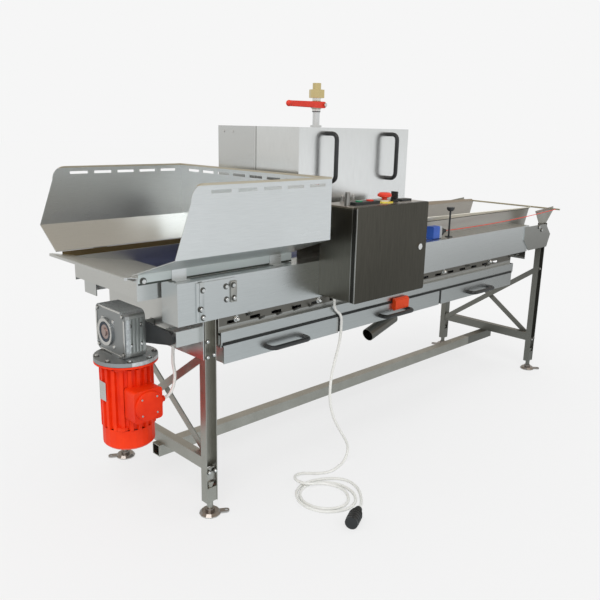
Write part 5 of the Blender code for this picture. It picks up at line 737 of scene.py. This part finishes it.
def add_piece(name, bm, look, body):
    """Makes a piece of the visible model from a bmesh."""
    bmesh.ops.recalc_face_normals(bm, faces=bm.faces)
    mesh = bpy.data.meshes.new(name)
    bm.to_mesh(mesh)
    bm.free()
    mesh.shade_smooth()
    mesh.set_sharp_from_angle(angle=math.radians(SMOOTH_ANGLE))
    obj = bpy.data.objects.new(name, mesh)
    bpy.context.scene.collection.objects.link(obj)
    mesh.materials.append(LOOKS[look])
    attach(obj, body)


def add_circle(bm, middle, axis, radius, count):
    """The vertices round an axis, or the one on it where the radius is zero."""
    if radius == 0:
        return [bm.verts.new(middle)]
    side = axis.orthogonal().normalized()
    other = axis.cross(side)
    angles = [2 * math.pi * k / count for k in range(count)]
    return [bm.verts.new(middle + (side * math.cos(a) + other * math.sin(a)) * radius) for a in angles]


def add_turned(bm, profile, centre, direction, count=ROD_SIDES):
    """A turned solid: pairs of radius and height along the direction, from axis to axis."""
    axis = Vector(direction).normalized()
    rings = [add_circle(bm, centre + axis * height, axis, radius, count) for radius, height in profile]
    for a, b in zip(rings, rings[1:]):
        for k in range(count):
            k1 = (k + 1) % count
            corners = [a[k % len(a)], a[k1 % len(a)], b[k1 % len(b)], b[k % len(b)]]
            corners = list(dict.fromkeys(corners))
            if len(corners) > 2:
                bm.faces.new(corners)


def add_ring(bm, inner, outer, depth, centre, direction, count=RING_SIDES):
    """A flat ring with its inner edge chamfered."""
    axis = Vector(direction).normalized()
    slope = min(depth, (outer - inner) / 4)
    profile = ((inner, 0), (outer, 0), (outer, depth), (inner + slope, depth), (inner, depth - slope / 2))
    rings = [add_circle(bm, centre + axis * height, axis, radius, count) for radius, height in profile]
    for a, b in zip(rings, rings[1:] + rings[:1]):
        for k in range(count):
            k1 = (k + 1) % count
            bm.faces.new((a[k], a[k1], b[k1], b[k]))


def bolt_circle(radius, count, first):
    """Places round a circle, as distances from its middle, with the first one's angle in degrees."""
    angles = [math.radians(first + 360 / count * k) for k in range(count)]
    return [(radius * math.cos(a), radius * math.sin(a)) for a in angles]


def add_slab(bm, x, y, z, edge=0.0):
    """A box between two places on each axis. A given edge rounds all its edges by that much."""
    lo, hi = (at(*corner) for corner in zip(x, y, z))
    made = bmesh.ops.create_cube(bm, size=1.0)
    for vert in made["verts"]:
        vert.co = Vector([(a + b) / 2 + c * (b - a) for a, b, c in zip(lo, hi, vert.co)])
    if edge:
        edges = list({e for v in made["verts"] for e in v.link_edges})
        bmesh.ops.bevel(bm, geom=edges, offset=edge, segments=2, affect="EDGES", profile=0.5)


def add_slab_pair(bm, x, y, z, edge=0.0):
    """A box on the front side and its mirror image behind."""
    add_slab(bm, x, y, z, edge)
    add_slab(bm, x, (-y[1], -y[0]), z, edge)


def add_hex_bolt(heads, washers, place, direction, size=1.0):
    """A washer, and a hexagon head whose corners are turned off."""
    r, h = WASHER_R * size, WASHER_HEIGHT * size
    edge_r, edge_h = WASHER_EDGE
    profile = ((0, 0), (r, 0), (r, h * edge_h), (r * edge_r, h), (0, h))
    add_turned(washers, profile, place, direction, ROUND_SIDES)
    r, top = HEX_R * size, h + HEX_HEIGHT * size
    edge_r, edge_h = HEX_EDGE
    profile = ((0, h), (r, h), (r, top - h * edge_h), (r * edge_r, top), (0, top))
    add_turned(heads, profile, place, direction, HEX_SIDES)


def add_dome(bm, place, direction):
    """A capped nut on its washer: a hexagon with a round cap."""
    r, h = DOME_R, WASHER_HEIGHT
    add_turned(bm, ((0, 0), (r, 0), (r, h), (0, h)), place, direction, ROUND_SIDES)
    r *= DOME_HEX_SHARE
    edge_r, side_h, edge_h = DOME_HEX_EDGE
    top = h + r * edge_h
    add_turned(bm, ((0, h), (r, h), (r, h + r * side_h), (r * edge_r, top), (0, top)), place, direction,
               HEX_SIDES)
    cap = r * DOME_CAP_SHARE
    middle = h + r * DOME_MIDDLE
    profile = [(cap * math.cos(a), middle + cap * math.sin(a)) for a in map(math.radians, DOME_ANGLES)]
    add_turned(bm, [(0, h), (cap, h)] + profile + [(0, h + r * DOME_TOP)], place, direction, DOME_SIDES)


# Fittings


def make_skirts():
    """The strips that close the gap between the hopper's lower edges and the panels."""
    bm = bmesh.new()
    add_slab_pair(bm, SKIRT_X, SKIRT_Y, SKIRT_Z)
    add_piece("hopper_skirts", bm, "skirt", "machine")


def make_plates():
    """The strip and the bracket on each left gusset, and the plate that the brace's bolts hold."""
    bm = bmesh.new()
    add_slab_pair(bm, STRIP_X, (GUSSET_Y - STRIP_THICKNESS, GUSSET_Y), STRIP_Z, PLATE_ROUNDING)
    add_piece("flange_strips", bm, "tray", "machine")
    bm = bmesh.new()
    add_slab_pair(bm, BRACKET_X, (GUSSET_Y - BRACKET_THICKNESS, GUSSET_Y), BRACKET_Z, BRACKET_ROUNDING)
    add_slab_pair(bm, BRACE_PLATE_X, BRACE_PLATE_Y, BRACE_PLATE_Z, PLATE_ROUNDING)
    add_piece("frame_plates", bm, "bearing", "machine")


def make_fasteners():
    """The bolts, capped nuts and studs on the panels and the legs, the bolts with dark washers."""
    groups = (
        (GUSSET_BOLTS, GUSSET_Y, 1.0),
        (STRIP_BOLTS, GUSSET_Y - STRIP_THICKNESS, 1.0),
        (BRACKET_BOLTS, GUSSET_Y - BRACKET_THICKNESS, 1.0),
        (LEG_LEFT_BOLTS, LEG_LEFT_Y, LEG_BOLT_SIZE),
        (LEG_RIGHT_BOLTS, LEG_RIGHT_Y, LEG_BOLT_SIZE),
        (INFEED_BOLTS, INFEED_Y, INFEED_BOLT_SIZE),
    )
    heads, washers = bmesh.new(), bmesh.new()
    for side, facing in ((1, FRONT), (-1, BACK)):
        for places, y, size in groups:
            for x, z in places:
                add_hex_bolt(heads, washers, at(x, y * side, z), facing, size)
        for x, z in RAIL_NUTS:
            add_dome(heads, at(x, RAIL_Y * side, z), facing)
    r, end, root = STUD_R, STUD_LENGTH, STUD_ROOT
    edge_r, edge_h = STUD_EDGE
    profile = ((0, root), (r, root), (r, end - r), (r * edge_r, end - r * edge_h), (0, end))
    for x, z in RAIL_STUDS:
        add_turned(washers, profile, at(x, RAIL_Y, z), STUD_LEAN, STUD_SIDES)
    add_piece("panel_fasteners", heads, "bright", "machine")
    add_piece("panel_washers", washers, "dark_bolt", "machine")


def make_gearbox_bolts():
    """The bolts on the gearbox's left and front faces and round the motor's flange."""
    heads, washers = bmesh.new(), bmesh.new()
    for y in GEAR_FACE_BOLT_Y:
        for z in GEAR_FACE_BOLT_Z:
            add_hex_bolt(heads, washers, at(GEAR_FACE_X, y, z), LEFT, GEAR_FACE_BOLT_SIZE)
    for x in GEAR_SIDE_BOLT_X:
        for z in GEAR_SIDE_BOLT_Z:
            add_hex_bolt(heads, washers, at(x, GEAR_SIDE_Y, z), FRONT, GEAR_SIDE_BOLT_SIZE)
    for dx, dy in bolt_circle(FLANGE_BOLT_CIRCLE_R, *EIGHT_ROUND):
        add_hex_bolt(heads, washers, at(MOTOR_X + dx, MOTOR_Y + dy, FLANGE_Z), UP, FLANGE_BOLT_SIZE)
    add_piece("gearbox_bolts", heads, "bright", "machine")
    add_piece("gearbox_washers", washers, "dark_bolt", "machine")


def make_gearbox_face():
    """The seal round the output shaft, the machined ring, four caps and the face's raised rim."""
    middle = at(SEAL_FACE_X, 0.0, DRIVE_Z)
    bm = bmesh.new()
    add_ring(bm, *SEAL_R, SEAL_DEPTH, middle, LEFT)
    add_piece("output_seal", bm, "seal_blue", "machine")
    bm = bmesh.new()
    add_ring(bm, *MACHINED_R, MACHINED_DEPTH, middle, LEFT, MACHINED_SIDES)
    for across, up in bolt_circle(CAP_CIRCLE_R, *FOUR_ROUND):
        spot = at(GEAR_FACE_X, across * CAP_CIRCLE_WIDTH + CAP_CIRCLE_Y, DRIVE_Z + up)
        add_turned(bm, CAP_PROFILE, spot, LEFT)
    x = (GEAR_FACE_X - RIM_THICKNESS, GEAR_FACE_X)
    for y in RIM_UPRIGHT_Y:
        add_slab(bm, x, y, RIM_UPRIGHT_Z, SMALL_ROUNDING)
    for z in RIM_LEVEL_Z:
        add_slab(bm, x, RIM_LEVEL_Y, z, SMALL_ROUNDING)
    add_piece("gearbox_face", bm, "bright", "machine")


def make_motor_fittings():
    """The terminal box's cover, nut and screws, the motor's lugs and its blank plate."""
    bm = bmesh.new()
    edge = [(COVER_R * a, COVER_HEIGHT * b) for a, b in COVER_EDGE]
    profile = [(0, 0)] + edge + [(0, COVER_HEIGHT)]
    add_turned(bm, profile, at(*COVER_CENTRE), FRONT, COVER_SIDES)
    add_turned(bm, LEAD_NUT_PROFILE, at(*LEAD_NUT_PLACE), RIGHT, LEAD_NUT_SIDES)
    for z in LUG_LEVELS:
        for dx, dy in bolt_circle(LUG_CIRCLE_R, *FOUR_ROUND):
            add_turned(bm, LUG_PROFILE, at(MOTOR_X + dx, MOTOR_Y + dy, z), UP, SMALL_SIDES)
    add_piece("motor_cover", bm, "red", "machine")
    bm = bmesh.new()
    add_slab(bm, PLATE_X, PLATE_Y, PLATE_Z, SMALL_ROUNDING)
    add_piece("blank_plate", bm, "bright", "machine")
    bm = bmesh.new()
    x, y, z = COVER_CENTRE
    for dx, dz in bolt_circle(COVER_SCREW_CIRCLE_R, *FOUR_ROUND):
        add_turned(bm, COVER_SCREW_PROFILE, at(x + dx, y - COVER_HEIGHT, z + dz), FRONT, SMALL_SIDES)
    add_piece("cover_screws", bm, "steel", "machine")


def make_box_pins():
    """Two pins on the control box, behind the buttons."""
    bm = bmesh.new()
    foot, collar, neck, top = BOX_PIN_HEIGHTS
    for x, r in BOX_PINS:
        foot_r, tip_r = r * BOX_PIN_FOOT, r * BOX_PIN_TIP
        profile = ((0, 0), (foot_r, 0), (foot_r, foot), (r, collar), (r, neck), (tip_r, top), (0, top))
        add_turned(bm, profile, at(x, BOX_PIN_Y, BOX_TOP_Z), UP, BOX_PIN_SIDES)
    add_piece("box_pins", bm, "steel", "machine")


def make_pan_seal():
    """The seal along the pan's front, and the black strips between the trays."""
    bm = bmesh.new()
    add_slab(bm, SEAL_X, SEAL_Y, SEAL_Z, SEAL_ROUNDING)
    for x in TRAY_SEAMS:
        add_slab(bm, (x - SEAM_HALF_WIDTH, x + SEAM_HALF_WIDTH), SEAM_Y, SEAM_Z, SEAL_ROUNDING)
    add_piece("pan_seal", bm, "rubber", "machine")


def make_lever_fittings():
    """The ball at the end of the valve's lever and the nut at its hub."""
    bm = bmesh.new()
    r = LEVER_BALL_R
    ball = [(r * math.sin(a), r * (1 - math.cos(a))) for a in map(math.radians, LEVER_BALL_ANGLES)]
    add_turned(bm, [(0, 0)] + ball + [(0, 2 * r)], at(*LEVER_BALL_PLACE), RIGHT, ROUND_SIDES)
    add_piece("lever_ball", bm, "red_plastic", "lever")
    bm = bmesh.new()
    add_turned(bm, LEVER_NUT_PROFILE, at(*LEVER_NUT_PLACE), FRONT, HEX_SIDES)
    add_piece("lever_nut", bm, "bright", "lever")


def make_hood_rivets():
    """Two rivets on the hood's left side."""
    bm = bmesh.new()
    for y in RIVET_Y:
        add_turned(bm, RIVET_PROFILE, at(RIVET_X, y, RIVET_Z), LEFT, SMALL_SIDES)
    add_piece("hood_rivets", bm, "bright", "machine")


# Camera, light and floor


def make_camera():
    """The photograph's camera, from its place and its three directions."""
    data = bpy.data.cameras.new("camera")
    data.lens = CAMERA_LENS
    data.sensor_width = SENSOR_WIDTH
    data.sensor_fit = "HORIZONTAL"
    camera = bpy.data.objects.new("camera", data)
    bpy.context.scene.collection.objects.link(camera)
    columns = [Vector(CAMERA_RIGHT), -Vector(CAMERA_DOWN), -Vector(CAMERA_AHEAD)]
    turn = Matrix([[columns[j][i] for j in range(3)] for i in range(3)]).to_4x4()
    camera.matrix_world = Matrix.Translation(CAMERA_PLACE) @ turn
    bpy.context.scene.camera = camera


def make_world():
    """Even light for matt surfaces; what shines sees a pale horizon under a browner ceiling."""
    world = bpy.data.worlds.new("studio")
    world.use_nodes = True
    n = Nodes(world.node_tree)
    path = n.add("ShaderNodeLightPath")
    heading = n.add("ShaderNodeTexCoord")
    split = n.add("ShaderNodeSeparateXYZ")
    n.link(heading.outputs["Generated"], split.inputs[0])
    tint = n.mix(n.ramp(split.outputs[2], *SKY_TURN), SKY_LOW, SKY_HIGH)
    matt = n.mix(path.outputs["Is Diffuse Ray"], tint, SKY_LEVEL)
    background = world.node_tree.nodes["Background"]
    n.link(n.mix(path.outputs["Is Camera Ray"], matt, BACKGROUND), background.inputs["Color"])
    bpy.context.scene.world = world


def make_sun():
    """A broad sun, for soft shadows."""
    data = bpy.data.lights.new("sun", "SUN")
    data.energy = SUN_STRENGTH
    data.angle = SUN_ANGLE
    sun = bpy.data.objects.new("sun", data)
    sun.rotation_euler = Vector(SUN_HEADING).to_track_quat("-Z", "Y").to_euler()
    bpy.context.scene.collection.objects.link(sun)


def mix_shaders(n, factor, a, b):
    node = n.add("ShaderNodeMixShader")
    for place, value in enumerate((factor, a, b)):
        n.link(value, node.inputs[place])
    return node.outputs[0]


def make_floor_look():
    """Plain and matt. What shines sees it darker towards the machine's far end and behind it."""
    material, n, shader = new_material("floor")
    n.feed(shader, "Base Color", FLOOR_COLOUR)
    socket(shader, "Roughness", 1.0)
    socket(shader, "Specular IOR Level", 0.0)
    path = n.add("ShaderNodeLightPath")
    glow = n.add("ShaderNodeEmission")
    near = n.mix(n.ramp(n.axis(0), *GLOW_RIGHT_X), GLOW_NEAR, GLOW_FAR_RIGHT)
    front = n.mix(n.ramp(n.axis(1), *GLOW_FRONT_Y), GLOW_FAR_FRONT, near)
    n.link(n.mix(n.ramp(n.axis(1), *GLOW_BEHIND_Y), front, GLOW_BEHIND), glow.inputs["Color"])
    plain = n.add("ShaderNodeEmission")
    n.feed(plain, "Color", BACKGROUND)
    shining = n.maths("MULTIPLY", path.outputs["Is Glossy Ray"], GLOW_SHARE)
    looked_at = n.maths("MULTIPLY", path.outputs["Is Camera Ray"], FLOOR_PALE_SHARE)
    reflected = mix_shaders(n, shining, shader.outputs[0], glow.outputs[0])
    seen = mix_shaders(n, looked_at, reflected, plain.outputs[0])
    n.link(seen, material.node_tree.nodes["Material Output"].inputs["Surface"])
    return material


def make_floor():
    """The floor, which is part of the stage and not of the machine."""
    bm = bmesh.new()
    bmesh.ops.create_grid(bm, x_segments=2, y_segments=2, size=FLOOR_REACH)
    mesh = bpy.data.meshes.new("floor")
    bm.to_mesh(mesh)
    bm.free()
    floor = bpy.data.objects.new("floor", mesh)
    bpy.context.scene.collection.objects.link(floor)
    mesh.materials.append(make_floor_look())


# Cords


def smooth_line(points, steps):
    """Points along a smooth curve through the given ones."""
    run = [points[0] * 2 - points[1]] + points + [points[-1] * 2 - points[-2]]
    line = []
    for a, b, c, d in zip(run, run[1:], run[2:], run[3:]):
        for k in range(steps):
            t = k / steps
            line.append((b * 2 + (c - a) * t + (a * 2 - b * 5 + c * 4 - d) * t ** 2
                         + (b * 3 - a - c * 3 + d) * t ** 3) / 2)
    return line + [points[-1]]


def tube(name, points, radius, look, body):
    """A round cord as one curve."""
    curve = bpy.data.curves.new(name, "CURVE")
    curve.dimensions = "3D"
    curve.bevel_depth = radius
    curve.bevel_resolution = CORD_FINENESS
    curve.use_fill_caps = True
    spline = curve.splines.new("POLY")
    spline.points.add(len(points) - 1)
    for point, place in zip(spline.points, points):
        point.co = (*place, 1.0)
    spline.use_smooth = True
    obj = bpy.data.objects.new(name, curve)
    bpy.context.scene.collection.objects.link(obj)
    curve.materials.append(LOOKS[look])
    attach(obj, body)
    return obj


def make_plug_grip():
    """The collar and the ribs round the plug, flat where they rest on the floor."""
    angle = math.radians(PLUG_HEADING)
    ahead = Vector((math.cos(angle), math.sin(angle), 0.0))
    bm = bmesh.new()
    w = PLUG_RIB_WIDTH
    low, high = (w * share for share in PLUG_RIB_FLAT)
    for place, r in PLUG_RIBS:
        root = r * PLUG_RIB_ROOT
        profile = ((0, 0), (root, 0), (r, low), (r, high), (root, w), (0, w))
        add_turned(bm, profile, at(*PLUG_NOSE) + ahead * place, ahead, ROUND_SIDES)
    for vert in bm.verts:
        vert.co.z = max(vert.co.z, PLUG_BASE_Z)
    add_piece("plug_grip", bm, "rubber", "machine")


def make_power_cable():
    """The power cable from its gland to the plug. It replaces the solids' cable and coil."""
    places = [at(*CABLE_START)] + [at(*p) for p in CABLE_DROP + CABLE_TURN]
    for degrees, radius in CABLE_LOOPS:
        angle = math.radians(degrees)
        places.append(at(COIL_X + radius * math.cos(angle), COIL_Y + radius * math.sin(angle),
                         CABLE_FLOOR_Z))
    places += [at(*p) for p in CABLE_TAIL]
    line = smooth_line(places, CABLE_STEPS)
    cable = tube("mains_lead", line, CABLE_R, "cable", "machine")
    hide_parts("power_cable", "cable_coil")


def make_motor_lead():
    """The motor's cable, held at both ends."""
    start = Vector(MOTOR_CABLE_START)
    places = [at(*(start + Vector(step))) for step in MOTOR_CABLE_STEPS]
    places += [at(*p) for p in MOTOR_CABLE_END]
    line = smooth_line(places, LEAD_STEPS)
    lead = tube("motor_lead", line, CABLE_R, "cable", "machine")
    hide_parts("motor_cable")


def make_safety_wire():
    """The switch's pull wire, held at both ends, with a little sag."""
    places = []
    for i in range(WIRE_STEPS + 1):
        t = i / WIRE_STEPS
        drop = Vector((0, 0, WIRE_SAG * 4 * t * (1 - t)))
        places.append(at(*WIRE_START).lerp(at(*WIRE_END), t) - drop)
    wire = tube("safety_wire", places, WIRE_R, "red_plastic", "machine")
    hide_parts("pull_wire")


# The scene
make_panel_looks()
make_hood_looks()
make_frame_look()
make_box_looks()
make_small_metal_looks()
make_gearbox_look()
make_guide_look()
make_plastic_looks()
make_camera()
make_world()
make_sun()
make_floor()
dress_nodes()
make_plug_grip()
make_power_cable()
make_motor_lead()
make_safety_wire()
make_skirts()
make_plates()
make_fasteners()
make_gearbox_bolts()
make_gearbox_face()
make_motor_fittings()
make_box_pins()
make_pan_seal()
make_lever_fittings()
make_hood_rivets()

bpy.context.scene.view_settings.view_transform = "Standard"
